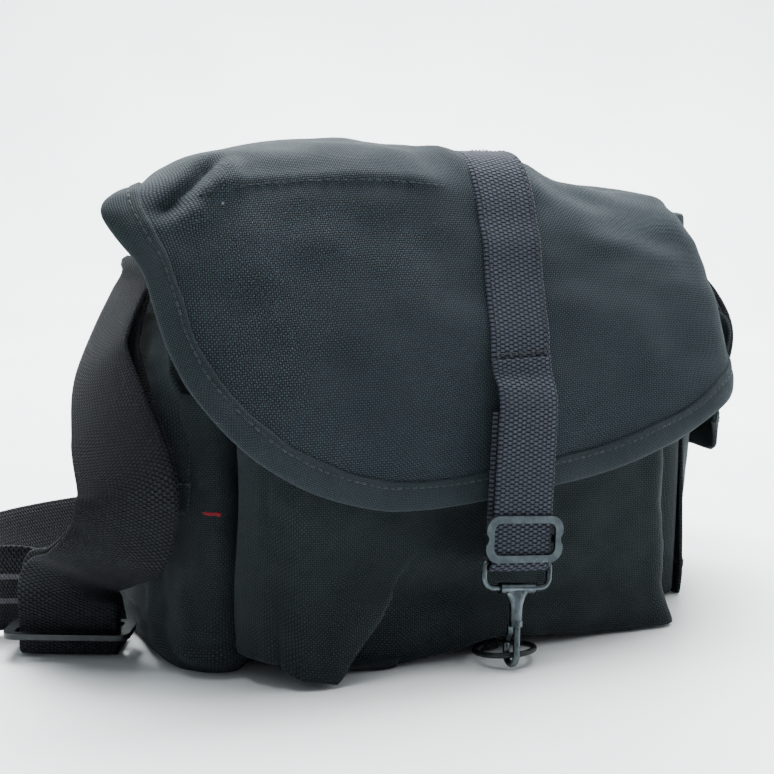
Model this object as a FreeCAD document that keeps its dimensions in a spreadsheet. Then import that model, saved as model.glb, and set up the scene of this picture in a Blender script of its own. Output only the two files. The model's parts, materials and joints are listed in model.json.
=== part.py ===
import FreeCAD, Part

import math
import os

import Sketcher

# Canvas messenger bag: a flat-bottomed main compartment with a bellows pocket in front and one at each
# end, a wide round-cornered flap held down by a webbing strap with a snap hook, and a shoulder strap.
# Millimetres. -Y is the front, +X is to the right as one looks at the front, and +Z is up.
# The origin is the middle of the underside of the base.

V = FreeCAD.Vector
doc = FreeCAD.newDocument("bag")

# ---------------------------------------------------------------- driving dimensions
DIMS = {
    "body_w": 208.0,        # main compartment, outside
    "body_d": 94.0,
    "body_top": 172.0,      # top of the walls, under the hem
    "base_t": 3.0,
    "wall_t": 2.4,
    "hem_h": 5.0,
    "board_gap": 1.8,       # play round the base board
    "board_t": 2.5,
    "pad_t": 5.0,           # foam insert
    "pad_h": 128.0,
    "divider_x": 28.0,
    "pocket_w": 168.0,      # front pocket
    "pocket_shift": -13.0,
    "pocket_out": 29.5,
    "pocket_top": 112.0,
    "pocket_lift": 5.6,
    "cloth_t": 2.0,
    "tape_t": 0.8,
    "tape_h": 11.0,
    "end_w": 78.0,          # end pockets, along Y
    "end_out": 22.0,
    "end_lift": 0.8,
    "end_top": 106.0,
    "end_round": 9.0,
    "endflap_gap": 1.0,
    "endflap_top": 124.0,
    "endflap_low": 60.0,
    "endflap_t": 1.6,
    "endhem_h": 12.0,
    "flap_w": 280.0,        # main flap
    "flap_t": 2.2,
    "flap_round_z": 150.0,  # height where the flap's side starts to curve in
    "flap_low": 66.0,
    "bind_w": 9.0,
    "closure_w": 25.4,      # 1 inch webbing
    "closure_t": 1.6,
    "shoulder_w": 38.1,     # 1 1/2 inch webbing
    "shoulder_t": 1.7,
    "wire_r": 1.1,          # snap hook loop and ring
    "ring_r": 11.4,
    "ring_z": 4.3,
    "ring_y": -84.85,
    "ring_x": -11.2,
    "ring_tilt": 7.0,       # degrees, front edge up
    "hinge_y": 45.6,
    "hinge_z": 179.6,
}

sheet = doc.addObject("Spreadsheet::Sheet", "Sizes")
for row, (alias, value) in enumerate(DIMS.items(), start=1):
    sheet.set(f"A{row}", alias)
    sheet.set(f"B{row}", str(value))
    sheet.setAlias(f"B{row}", alias)
doc.recompute()


def dim(alias):
    """A driving dimension as the sheet holds it."""
    return float(sheet.get(alias))


def bound(text):
    """An expression over the sheet: every driving dimension's name gets the sheet's name before it."""
    out, word = "", ""
    for c in text + " ":
        if c.isalnum() or c == "_":
            word += c
            continue
        out += ("Sizes." + word) if word in DIMS else word
        out, word = out + c, ""
    return out.strip()


NODES = {}


def keep(obj, name):
    """Makes an object of the document a sub-part."""
    obj.Label = name
    NODES[name] = obj
    return obj


def place(obj, x, y, z):
    for axis, text in zip("xyz", (x, y, z)):
        obj.setExpression(f".Placement.Base.{axis}", bound(text))
    return obj


def box(name, x, y, z, lx, ly, lz):
    """Part::Box whose corner and sides are expressions over the sheet."""
    b = doc.addObject("Part::Box", name)
    for prop, text in (("Length", lx), ("Width", ly), ("Height", lz)):
        b.setExpression(prop, bound(text))
    return place(b, x, y, z)


def cut(name, base, tool):
    c = doc.addObject("Part::Cut", name)
    c.Base, c.Tool = base, tool
    return c


def rounded(name, base, radius, keep_edge):
    """Part::Fillet on the edges of base that keep_edge accepts. radius is a number from the sheet."""
    doc.recompute()
    f = doc.addObject("Part::Fillet", name)
    f.Base = base
    f.Edges = [(i, radius, radius) for i, e in enumerate(base.Shape.Edges, start=1) if keep_edge(e)]
    return f


def is_upright(e):
    a, b = e.Vertexes[0].Point, e.Vertexes[-1].Point
    return abs(a.x - b.x) < 1e-6 and abs(a.y - b.y) < 1e-6


def solid(name, shape, placement=None):
    """Part::Feature for a shape that primitives and sketches don't make."""
    f = doc.addObject("Part::Feature", name)
    f.Shape = shape
    if placement is not None:
        f.Placement = placement.multiply(shape.Placement)
    return keep(f, name)


def on_plane(body, role):
    return [f for f in body.Origin.OriginFeatures if f.Role == role][0]


def constrain_rectangle(sk, half_x, low_y, high_y):
    """A rectangle symmetric about the sketch's vertical axis, with its sizes bound to the sheet."""
    pts = [V(-10, 0, 0), V(10, 0, 0), V(10, 10, 0), V(-10, 10, 0)]
    first = sk.GeometryCount
    for i in range(4):
        sk.addGeometry(Part.LineSegment(pts[i], pts[(i + 1) % 4]), False)
    for i in range(4):
        sk.addConstraint(Sketcher.Constraint("Coincident", first + i, 2, first + (i + 1) % 4, 1))
    for i, kind in enumerate(("Horizontal", "Vertical", "Horizontal", "Vertical")):
        sk.addConstraint(Sketcher.Constraint(kind, first + i))
    made = []
    for kind, args, text in (
        ("DistanceX", (-1, 1, first, 2, 10.0), half_x),
        ("DistanceX", (first, 1, -1, 1, 10.0), half_x),
        ("DistanceY", (-1, 1, first, 1, 0.1), low_y),
        ("DistanceY", (-1, 1, first + 2, 1, 10.0), high_y),
    ):
        made.append((sk.addConstraint(Sketcher.Constraint(kind, *args)), text))
    for index, text in made:
        sk.setExpression(f"Constraints[{index}]", bound(text))


# ---------------------------------------------------------------- main compartment
def main_compartment():
    body = doc.addObject("PartDesign::Body", "base_panel")
    sk = body.newObject("Sketcher::SketchObject", "base_outline")
    sk.AttachmentSupport = (on_plane(body, "XY_Plane"), "")
    sk.MapMode = "FlatFace"
    constrain_rectangle(sk, "body_w / 2", "-body_d / 2", "body_d / 2")
    doc.recompute()
    pad = body.newObject("PartDesign::Pad", "base_pad")
    pad.Profile = sk
    pad.setExpression("Length", bound("base_t"))
    body.Tip = pad
    keep(body, "base_panel")

    x0, y0, height = "-body_w / 2", "-body_d / 2", "body_top - base_t"
    keep(box("front_wall", x0, y0, "base_t", "body_w", "wall_t", height), "front_wall")
    keep(box("back_wall", x0, "body_d / 2 - wall_t", "base_t", "body_w", "wall_t", height), "back_wall")
    inner = "body_d - 2 * wall_t"
    keep(box("left_wall", x0, f"{y0} + wall_t", "base_t", "wall_t", inner, height), "left_wall")
    keep(box("right_wall", "body_w / 2 - wall_t", f"{y0} + wall_t", "base_t", "wall_t", inner, height),
         "right_wall")

    outer = box("hem_outer", x0, y0, "body_top", "body_w", "body_d", "hem_h")
    hole = box("hem_hole", f"{x0} + 2 * wall_t", f"{y0} + 2 * wall_t", "body_top - 1",
               "body_w - 4 * wall_t", "body_d - 4 * wall_t", "hem_h + 2")
    keep(cut("mouth_hem", outer, hole), "mouth_hem")


def padded_insert():
    """The stiff board under the load and the foam walls that hold the bag open."""
    side = "(wall_t + board_gap)"
    x0, y0 = f"-body_w / 2 + {side}", f"-body_d / 2 + {side}"
    long_x, long_y = f"body_w - 2 * {side}", f"body_d - 2 * {side} - 2 * pad_t"
    keep(box("base_board", x0, y0, "base_t", long_x, f"body_d - 2 * {side}", "board_t"), "base_board")
    z = "base_t + board_t"
    keep(box("insert_front_pad", x0, y0, z, long_x, "pad_t", "pad_h"), "insert_front_pad")
    keep(box("insert_back_pad", x0, f"body_d / 2 - {side} - pad_t", z, long_x, "pad_t", "pad_h"),
         "insert_back_pad")
    keep(box("insert_left_pad", x0, f"{y0} + pad_t", z, "pad_t", long_y, "pad_h"), "insert_left_pad")
    keep(box("insert_right_pad", f"body_w / 2 - {side} - pad_t", f"{y0} + pad_t", z,
             "pad_t", long_y, "pad_h"), "insert_right_pad")
    keep(box("insert_divider", "divider_x", f"{y0} + pad_t", z, "pad_t", long_y, "pad_h - 14"),
         "insert_divider")


# ---------------------------------------------------------------- front pocket
def front_pocket():
    x0, x1 = "pocket_shift - pocket_w / 2", "pocket_shift + pocket_w / 2"
    front = "-body_d / 2 - pocket_out"
    wall_z, wall_h = "pocket_lift + cloth_t", "pocket_top - pocket_lift - cloth_t"
    keep(box("front_pocket_floor", x0, front, "pocket_lift", "pocket_w", "pocket_out", "cloth_t"),
         "front_pocket_floor")
    keep(box("front_pocket_face", x0, front, wall_z, "pocket_w", "cloth_t", wall_h), "front_pocket_face")
    depth = "pocket_out - cloth_t"
    keep(box("front_pocket_left_gusset", x0, f"{front} + cloth_t", wall_z, "cloth_t", depth, wall_h),
         "front_pocket_left_gusset")
    keep(box("front_pocket_right_gusset", f"{x1} - cloth_t", f"{front} + cloth_t", wall_z, "cloth_t",
             depth, wall_h), "front_pocket_right_gusset")
    keep(box("front_pocket_hem", x0, f"{front} - tape_t", "pocket_top - tape_h", "pocket_w", "tape_t",
             "tape_h"), "front_pocket_hem")


# ---------------------------------------------------------------- end pockets and their flaps
def end_pocket(side, sign):
    """One bellows pocket on the end wall: a wall that goes round three sides, its floor, and its flap.
    sign is -1 on the left, +1 on the right."""
    wall_x = "body_w / 2"

    def span(near, far):
        """x of a stretch that starts near and ends far from the end wall."""
        return f"{wall_x} + {near}" if sign > 0 else f"-{wall_x} - ({far})"

    y0, z0, h = "-end_w / 2", "end_lift", "end_top - end_lift"
    block = box(f"{side}_end_block", span("0", "end_out"), y0, z0, "end_out", "end_w", h)
    outside = sign * (dim("body_w") / 2 + dim("end_out"))
    shell = rounded(f"{side}_end_round", block, dim("end_round"),
                    lambda e: is_upright(e) and abs(e.Vertexes[0].Point.x - outside) < 0.01)
    room = box(f"{side}_end_room", span("-1", "end_out - cloth_t"), f"{y0} + cloth_t", f"{z0} - 1",
               "end_out - cloth_t + 1", "end_w - 2 * cloth_t", f"{h} + 2")
    inside = sign * (dim("body_w") / 2 + dim("end_out") - dim("cloth_t"))
    room = rounded(f"{side}_end_room_round", room, dim("end_round") - dim("cloth_t"),
                   lambda e: is_upright(e) and abs(e.Vertexes[0].Point.x - inside) < 0.01)
    keep(cut(f"end_pocket_{side}_wall", shell, room), f"end_pocket_{side}_wall")
    slab = box(f"{side}_end_slab", span("0", "end_out - cloth_t"), f"{y0} + cloth_t", z0,
               "end_out - cloth_t", "end_w - 2 * cloth_t", "cloth_t")
    floor = rounded(f"end_pocket_{side}_floor", slab, dim("end_round") - dim("cloth_t"),
                    lambda e: is_upright(e) and abs(e.Vertexes[0].Point.x - inside) < 0.01)
    keep(floor, f"end_pocket_{side}_floor")

    # the pocket's flap: a short roof that starts at the wall, the cover, and the hem outside its lower edge
    reach = "end_out + endflap_gap + endflap_t"
    roof_z = "endflap_top - endflap_t"
    roof = box(f"{side}_roof", span("0.4", reach), "-end_w / 2 - 2", roof_z, f"{reach} - 0.4", "end_w + 4",
               "endflap_t")
    cover = box(f"{side}_cover", span("end_out + endflap_gap", reach), "-end_w / 2 - 2", "endflap_low",
                "endflap_t", "end_w + 4", f"{roof_z} - endflap_low")
    both = doc.addObject("Part::MultiFuse", f"end_flap_{side}")
    both.Shapes = [roof, cover]
    both.Refine = True
    keep(both, f"end_flap_{side}")
    keep(box(f"end_flap_{side}_hem", span(reach, f"{reach} + tape_t"), "-end_w / 2 - 2", "endflap_low",
             "tape_t", "end_w + 4", "endhem_h"), f"end_flap_{side}_hem")


def side_label():
    """A blank red tag sewn to the left end pocket, below its flap."""
    keep(box("side_label", "-body_w / 2 - end_out - tape_t", "-end_w / 2 + end_round + 1", "endflap_low - 17",
             "tape_t", "24", "12"), "side_label")


# ---------------------------------------------------------------- webbing and wire helpers
def rounded_path(points, radii):
    """A wire of straight runs joined by tangent arcs, one radius for each inner point."""
    edges, start = [], points[0]
    for i in range(1, len(points) - 1):
        a, p, b = points[i - 1], points[i], points[i + 1]
        to_a, to_b = (a - p).normalize(), (b - p).normalize()
        half = to_a.getAngle(to_b) / 2
        back = radii[i - 1] / math.tan(half)
        t1, t2 = p + to_a * back, p + to_b * back
        middle = (to_a + to_b).normalize() * (radii[i - 1] / math.sin(half) - radii[i - 1])
        if (t1 - start).Length > 1e-6:
            edges.append(Part.LineSegment(start, t1).toShape())
        edges.append(Part.Arc(t1, p + middle, t2).toShape())
        start = t2
    edges.append(Part.LineSegment(start, points[-1]).toShape())
    return Part.Wire(edges)


def banner(yz, radii, thickness, half_width, shift=0.0):
    """Cloth of even thickness: a path in the YZ plane, thickened and drawn out along X."""
    path = rounded_path([V(0, y, z) for y, z in yz], radii)
    face = path.makeOffset2D(thickness / 2, fill=True, openResult=True)
    other = path.makeOffset2D(-thickness / 2, fill=True, openResult=True)
    whole = face.fuse(other).removeSplitter()
    whole.translate(V(shift - half_width, 0, 0))
    return whole.extrude(V(2 * half_width, 0, 0))


def ribbon(sections, width, thickness, first=0, last=None):
    """Webbing through sections of (middle, width direction): straight spans between rectangles.
    first and last pick a stretch, whose end faces then match those of the stretches beside it."""
    last = len(sections) - 1 if last is None else last
    wires = []
    middles = [V(*c) for c, _ in sections]
    for i in range(first, last + 1):
        along = middles[min(i + 1, len(middles) - 1)] - middles[max(i - 1, 0)]
        along.normalize()
        w = V(*sections[i][1])
        w = (w - along * w.dot(along)).normalize()
        n = along.cross(w)
        corners = [middles[i] + w * (sx * width / 2) + n * (sn * thickness / 2)
                   for sx, sn in ((-1, -1), (1, -1), (1, 1), (-1, 1))]
        wires.append(Part.makePolygon(corners + corners[:1]))
    return Part.makeLoft(wires, True, True)


# ---------------------------------------------------------------- main flap
# the flap's middle surface, from the seam at the back to the lower edge, as (y, z)
FLAP_PATH = [(dim("hinge_y") - 1.2, dim("hinge_z")), (26.0, 187.0), (-52.0, 188.0), (-80.4, 114.0),
             (-82.2, dim("flap_low"))]
FLAP_RADII = [30.0, 16.0, 30.0]


def round_edge(grow):
    """The U of the flap seen from the front: straight sides, then half an ellipse. grow moves it outwards."""
    half, z = dim("flap_w") / 2 + grow, dim("flap_round_z")
    drop = z - dim("flap_low") + grow
    arc = Part.Ellipse(V(0, 0, z), half, drop)
    arc.Axis = V(0, -1, 0)
    arc.XAxis = V(1, 0, 0)
    above = 200.0
    parts = [Part.LineSegment(V(-half, 0, above), V(-half, 0, z)).toShape(),
             Part.LineSegment(V(half, 0, z), V(half, 0, above)).toShape(),
             Part.LineSegment(V(half, 0, above), V(-half, 0, above)).toShape()]
    curve = arc.toShape(math.pi, 2 * math.pi)
    if curve.valueAt(curve.FirstParameter + 1).z > z:
        curve = arc.toShape(0, math.pi)
    face = Part.Face(Part.Wire(Part.__sortEdges__(parts + [curve])))
    face.translate(V(0, -120, 0))
    return face.extrude(V(0, 240, 0))


def flap():
    sheet_of_cloth = banner(FLAP_PATH, FLAP_RADII, dim("flap_t"), dim("flap_w") / 2)
    inner = round_edge(-dim("bind_w"))
    outer = round_edge(0.0)
    solid("flap_panel", sheet_of_cloth.common(inner))
    solid("flap_binding", sheet_of_cloth.common(outer).cut(inner))


# ---------------------------------------------------------------- closure strap and its hardware
CLOSURE_TOP = V(-3.5, -86.8, 109.0)     # where the strap leaves the flap and hangs free
STRAP_SLANT = 0.079                     # the sewn stretch slants: this much X for each mm of Y + Z along it
LEAN = 6.0                              # degrees: the free strap hangs a little to the left
HOOK_LEAN = 7.0                         # degrees: the loop and hook lean a little further
CLOSURE_PITCH = 4.8                     # degrees: hangs a little forward
HOOK_PITCH = 10.0
DROP = 69.3                             # from the top of the free strap to the loop's upper bar
SLIDE_UP = 9.4                          # the slide's middle above that bar


def turned(lean, pitch, at):
    """A frame whose -Z leans to -X and -Y by these angles, with its origin at a point."""
    turn = FreeCAD.Rotation(V(0, 1, 0), lean).multiply(FreeCAD.Rotation(V(1, 0, 0), -pitch))
    return FreeCAD.Placement(at, turn)


HANG = turned(LEAN, CLOSURE_PITCH, CLOSURE_TOP)
LOOP_AT = HANG.multVec(V(0, 0, -DROP))
LOOP_FRAME = turned(HOOK_LEAN, HOOK_PITCH, LOOP_AT)
STRAP_PLAY = 0.5                        # between the folded strap and the wire in it
LOOP_H = 9.5                            # between the loop's bars, on their middles
HOOK_AT = LOOP_FRAME.multVec(V(0, 0, -LOOP_H))
HOOK_FRAME = turned(HOOK_LEAN, HOOK_PITCH, HOOK_AT)


def closure_strap():
    w, t, r = dim("closure_w"), dim("closure_t"), dim("wire_r")
    # the stretch sewn to the flap: it follows the flap's outside from near the back seam
    lift = (dim("flap_t") + t) / 2 + 0.05
    path = rounded_path([V(0, y, z) for y, z in FLAP_PATH], FLAP_RADII)
    outside = path.makeOffset2D(lift, openResult=True)
    if outside.BoundBox.ZMax < path.BoundBox.ZMax:
        outside = path.makeOffset2D(-lift, openResult=True)
    face = Part.Wire(outside.Edges).makeOffset2D(t / 2, fill=True, openResult=True)
    other = Part.Wire(outside.Edges).makeOffset2D(-t / 2, fill=True, openResult=True)
    whole = face.fuse(other).removeSplitter()
    whole.translate(V(-3 * w, 0, 0))
    window = Part.makeBox(8 * w, 130, 90, V(-4 * w, -92, CLOSURE_TOP.z + 1.5))
    across = V(1, -STRAP_SLANT, -STRAP_SLANT).normalize()
    slab = Part.makeBox(w, 500, 500, V(-w / 2, -250, -250))
    slab.Placement = FreeCAD.Placement(CLOSURE_TOP + V(0, 6, 0), FreeCAD.Rotation(V(1, 0, 0), across))
    solid("closure_strap_sewn", whole.extrude(V(6 * w, 0, 0)).common(window).common(slab))

    # the free stretch: front layer down to the loop, a fold round its bar, and the tail behind
    gap = r + STRAP_PLAY
    front = Part.makeBox(w, t, DROP, V(-w / 2, -gap - t, -DROP))
    back = Part.makeBox(w, t, DROP - 12, V(-w / 2, gap, -DROP))
    fold = Part.makeCylinder(gap + t, w, V(-w / 2, 0, -DROP), V(1, 0, 0))
    fold = fold.cut(Part.makeCylinder(gap, w, V(-w / 2, 0, -DROP), V(1, 0, 0)))
    fold = fold.cut(Part.makeBox(w + 2, 20, 20, V(-w / 2 - 1, -10, -DROP)))
    free = front.fuse([back, fold]).removeSplitter()
    solid("closure_strap_free", free, HANG)


def rounded_bar_loop(half_w, half_h, wire_r, upper, lower):
    """A closed wire rectangle in the XZ plane, its middle at the origin. upper and lower round its corners."""
    pts = [V(-half_w, 0, 0), V(-half_w, 0, half_h), V(half_w, 0, half_h), V(half_w, 0, -half_h),
           V(-half_w, 0, -half_h), V(-half_w, 0, 0)]
    path = rounded_path(pts, [upper, upper, lower, lower])
    ring = Part.Wire(Part.makeCircle(wire_r, pts[0], V(0, 0, 1)))
    return path.makePipeShell([ring], True, False)


def closure_slide():
    """A stamped slide: an outer frame with a waist and a raised middle bar the webbing passes in front of."""
    inside, frame_w, height, plate = dim("closure_w") + 1.6, 3.4, 17.5, 1.3
    gap, t = dim("wire_r") + STRAP_PLAY, dim("closure_t")
    half_w = inside / 2 + frame_w
    outline = Part.makeBox(2 * half_w, plate, height, V(-half_w, 0, -height / 2))
    outline = outline.makeFillet(5.5, [e for e in outline.Edges if e.Length < plate + 0.01
                                       and abs(e.Vertexes[0].Point.y - e.Vertexes[-1].Point.y) > 1])
    window = Part.makeBox(inside, plate + 2, height - 2 * 2.7, V(-inside / 2, -1, -height / 2 + 2.7))
    window = window.makeFillet(3.0, [e for e in window.Edges if abs(e.Length - plate - 2) < 0.01])
    frame = outline.cut(window)
    for sx in (-1, 1):
        waist = Part.makeCylinder(2.6, plate + 2, V(sx * (half_w + 1.5), -1, 0), V(0, 1, 0))
        frame = frame.cut(waist)
    front_y = -gap - t - 0.35 - plate
    frame.translate(V(0, front_y, 0))
    # the middle bar lies behind the front layer and is joined to the frame's sides
    bar_y = -gap + 0.35
    bar_t = 1.5
    bar = Part.makeBox(inside + 2.4, bar_t, 3.0, V(-inside / 2 - 1.2, bar_y, -1.5))
    legs = [Part.makeBox(1.6, bar_y + bar_t - front_y - plate + 0.4, 3.0,
                         V(s * (inside / 2 + 0.8) - 0.8, front_y + plate - 0.4, -1.5)) for s in (-1, 1)]
    shape = frame.fuse([bar] + legs).removeSplitter()
    at = HANG.multiply(FreeCAD.Placement(V(0, 0, -DROP + SLIDE_UP), FreeCAD.Rotation()))
    solid("closure_slide", shape, at)


def hook_loop():
    shape = rounded_bar_loop(14.4, LOOP_H / 2, dim("wire_r"), 1.5, 4.0)
    shape.translate(V(0, 0, -LOOP_H / 2))
    solid("hook_loop", shape, LOOP_FRAME)


# the hook's shoulders, from the cross tube down to the collar: height, half width, half depth
SHOULDER_OVALS = [(0.0, 6.0, 1.9), (-2.3, 4.7, 2.2), (-5.0, 3.2, 2.3), (-8.5, 2.5, 2.2), (-13.5, 2.2, 2.1)]


def snap_hook():
    """T-shaped body on the loop's lower bar: shoulders that taper to a collar, with the round J below it."""
    bore = dim("wire_r") + 0.1
    tube = Part.makeCylinder(2.1, 15.0, V(-7.5, 0, 0), V(1, 0, 0))
    wires = []
    for z, half_x, half_y in SHOULDER_OVALS:
        wires.append(Part.Wire(Part.Ellipse(V(0, 0, z), half_x, half_y).toShape()))
    shoulders = Part.makeLoft(wires, True, False)
    collar = Part.makeCylinder(2.6, 2.4, V(0, 0, -12.1), V(0, 0, -1))
    body = tube.fuse([shoulders, collar]).removeSplitter()
    body = body.cut(Part.makeCylinder(bore, 30, V(-15, 0, 0), V(1, 0, 0)))
    bend, rod, low, tip = 3.6, 1.3, -25.0, -21.0
    front_y = -0.9
    path = Part.Wire([
        Part.LineSegment(V(0, front_y, -13.0), V(0, front_y, low)).toShape(),
        Part.Arc(V(0, front_y, low), V(0, front_y + bend, low - bend), V(0, front_y + 2 * bend, low)).toShape(),
        Part.LineSegment(V(0, front_y + 2 * bend, low), V(0, front_y + 2 * bend, tip)).toShape(),
    ])
    circle = Part.Wire(Part.makeCircle(rod, V(0, front_y, -13.0), V(0, 0, 1)))
    jay = path.makePipeShell([circle], True, False)
    solid("hook_body", body.fuse(jay).removeSplitter(), HOOK_FRAME)
    return front_y + 2 * bend, tip


def gate(tip_y, tip_z):
    """The sprung gate that closes the J, its pivot pin and the leaf spring behind it."""
    top = -13.7
    ear_y = 3.9
    leaf = Part.makeBox(2.2, 1.1, 3.4, V(-1.1, ear_y - 0.55, top - 3.4))
    slope = Part.makeLoft([
        Part.makePolygon([V(x, ear_y + dy, top - 3.4) for x, dy in
                          ((-1.1, -0.55), (1.1, -0.55), (1.1, 0.55), (-1.1, 0.55), (-1.1, -0.55))]),
        Part.makePolygon([V(x, tip_y + dy, tip_z + 0.75) for x, dy in
                          ((-1.1, -0.9), (1.1, -0.9), (1.1, 0.5), (-1.1, 0.5), (-1.1, -0.9))]),
    ], True, True)
    solid("hook_gate", leaf.fuse(slope).removeSplitter(), HOOK_FRAME)
    return V(0, ear_y, top - 0.2)


def ring_hub():
    """Middle of the wire at the ring's rear, which the tab holds and the ring turns about."""
    tilt = math.radians(dim("ring_tilt"))
    return V(dim("ring_x"), dim("ring_y") + dim("ring_r") * math.cos(tilt),
             dim("ring_z") - dim("ring_r") * math.sin(tilt))


def ring_and_tab():
    ring = doc.addObject("Part::Torus", "ring")
    ring.setExpression("Radius1", bound("ring_r"))
    ring.setExpression("Radius2", bound("wire_r"))
    ring.Placement = FreeCAD.Placement(V(0, 0, 0), FreeCAD.Rotation(V(1, 0, 0), -dim("ring_tilt")))
    keep(place(ring, "ring_x", "ring_y", "ring_z"), "catch_ring")
    # webbing tab sewn to the front wall's foot: it runs under the front pocket, round the ring's rear arc
    w, t, gap = 7.0, 0.8, dim("wire_r") + 0.35
    hub = ring_hub()
    ahead, behind = gap + 0.7, gap
    x0, low = hub.x - w / 2, hub.z - gap - t
    reach = -dim("body_d") / 2 - hub.y
    strip = Part.makeBox(w, reach + ahead + t, t, V(x0, hub.y - ahead - t, low))
    eye = Part.makeBox(w, ahead + behind + 2 * t, 2 * (gap + t), V(x0, hub.y - ahead - t, low))
    hole = Part.makeBox(w + 2, ahead + behind, 2 * gap, V(x0 - 1, hub.y - ahead, hub.z - gap))
    tab = strip.fuse(eye).removeSplitter().cut(hole)
    solid("ring_tab", tab)


# ---------------------------------------------------------------- shoulder strap
RING_TOP_Z, RING_LOW_Z = 157.0, 149.5
RING_NEAR_X, RING_FAR_X = 110.0, 124.5
STRAP_DOWN = (0.447, -0.894)            # outward and down: the way the strap leaves the ring
STRAP_END = 9.0


def strap_ring(side, sign):
    """Rectangular wire ring that hangs from a webbing tab on the end wall and holds the shoulder strap."""
    near, far = V(sign * RING_NEAR_X, 0, RING_TOP_Z), V(sign * RING_FAR_X, 0, RING_LOW_Z)
    out = far - near
    half_h, half_w, r = out.Length / 2, dim("shoulder_w") / 2 + 3.0, 1.5
    loop = rounded_bar_loop(half_w, half_h, r, 2.5, 2.5)
    x_axis, z_axis = V(0, 1, 0), V(-out.x, 0, -out.z).normalize()
    turn = FreeCAD.Rotation(x_axis, z_axis.cross(x_axis), z_axis, "ZXY")
    solid(f"strap_ring_{side}", loop, FreeCAD.Placement((near + far) / 2, turn))

    # the shoulder strap's end: a loop of webbing round the ring's outer bar, its two layers sewn together
    w, t = dim("shoulder_w"), dim("shoulder_t")
    gap, tail = r + 0.1, STRAP_END
    eye = Part.makeCylinder(gap + t, w, V(-w / 2, 0, 0), V(1, 0, 0))
    flat = Part.makeBox(w, 2 * t, tail, V(-w / 2, -t, -tail))
    end = eye.fuse(flat).removeSplitter().cut(Part.makeCylinder(gap, w + 2, V(-w / 2 - 1, 0, 0), V(1, 0, 0)))
    down = V(-sign * STRAP_DOWN[0], 0, -STRAP_DOWN[1])
    turn = FreeCAD.Rotation(x_axis, down.cross(x_axis), down, "ZXY")
    solid(f"strap_end_{side}", end, FreeCAD.Placement(far, turn))

    # the tab: flat against the wall above the ring, then once round its upper bar
    w, t = 32.0, 1.6
    wall = dim("body_w") / 2 + 0.1
    gap = r + 0.4
    hub = Part.makeCylinder(gap + t, w, V(sign * RING_NEAR_X, -w / 2, RING_TOP_Z), V(0, 1, 0))
    patch = Part.makeBox(t, w, 30, V(wall if sign > 0 else -wall - t, -w / 2, RING_TOP_Z - 16))
    web_x = wall if sign > 0 else -RING_NEAR_X
    web = Part.makeBox(RING_NEAR_X - wall, w, t, V(web_x, -w / 2, RING_TOP_Z + gap))
    tab = hub.fuse([patch, web]).removeSplitter()
    tab = tab.cut(Part.makeCylinder(gap, w + 2, V(sign * RING_NEAR_X, -w / 2 - 1, RING_TOP_Z), V(0, 1, 0)))
    solid(f"strap_tab_{side}", tab)


STRAP_LEAD = 18.0                       # from the slide's middle to where the strap turns on edge
# webbing sections: (middle, direction across the width)
SLIDE_AT = V(-158.0, -3.0, 10.0)
SLIDE_ACROSS = V(0.87, -0.49, 0.0)
LEFT_HANG = [
    ((-129.4, 0.0, 139.4), (0.0, -1.0, 0.0)),
    ((-134.0, -0.7, 130.0), (0.02, -1.0, 0.0)),
    ((-141.5, -6.5, 114.0), (0.14, -0.99, 0.0)),
    ((-145.0, -24.0, 92.0), (0.48, -0.88, 0.0)),
    ((-145.0, -39.5, 68.0), (0.81, -0.58, 0.0)),
    ((-147.0, -34.0, 50.0), (0.86, -0.51, 0.0)),
    ((-153.0, -19.0, 38.5), (0.87, -0.49, 0.0)),
    ((-157.5, -5.6, 32.0), (0.87, -0.49, 0.0)),
    ((-158.0, -3.0, 25.7), (0.87, -0.49, 0.0)),
]
FLOOR_RUN = [
    ((-168.0, 23.0, 20.6), (0.10, -0.30, 1.0)),
    ((-180.0, 31.0, 20.8), (0.0, -0.30, 1.0)),
    ((-187.0, 46.0, 19.4), (-0.30, 0.05, 1.0)),
    ((-178.0, 70.0, 19.0), (-0.30, 0.25, 1.0)),
    ((-158.0, 88.0, 19.0), (-0.18, 0.38, 1.0)),
    ((-132.0, 98.0, 19.0), (-0.08, 0.40, 1.0)),
    ((-104.0, 101.0, 19.2), (0.0, 0.36, 1.0)),
    ((-60.0, 99.0, 19.6), (0.0, 0.22, 1.0)),
    ((-10.0, 95.0, 19.8), (0.0, 0.15, 1.0)),
    ((45.0, 94.0, 19.8), (0.0, 0.18, 1.0)),
    ((92.0, 92.0, 20.0), (0.05, 0.22, 1.0)),
    ((124.0, 80.0, 24.0), (0.12, 0.40, 0.92)),
    ((150.0, 66.0, 38.0), (0.10, 0.75, 0.62)),
    ((163.0, 46.0, 62.0), (0.05, 0.92, 0.38)),
    ((162.0, 24.0, 92.0), (0.0, 0.98, 0.18)),
    ((150.0, 6.0, 120.0), (0.0, 1.0, 0.05)),
    ((136.0, 0.6, 133.0), (0.0, 1.0, 0.0)),
    ((129.4, 0.0, 139.4), (0.0, 1.0, 0.0)),
]
LOOP_END, BACK_END = 6, 11              # sections where the floor loop and the run behind the bag end


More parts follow.
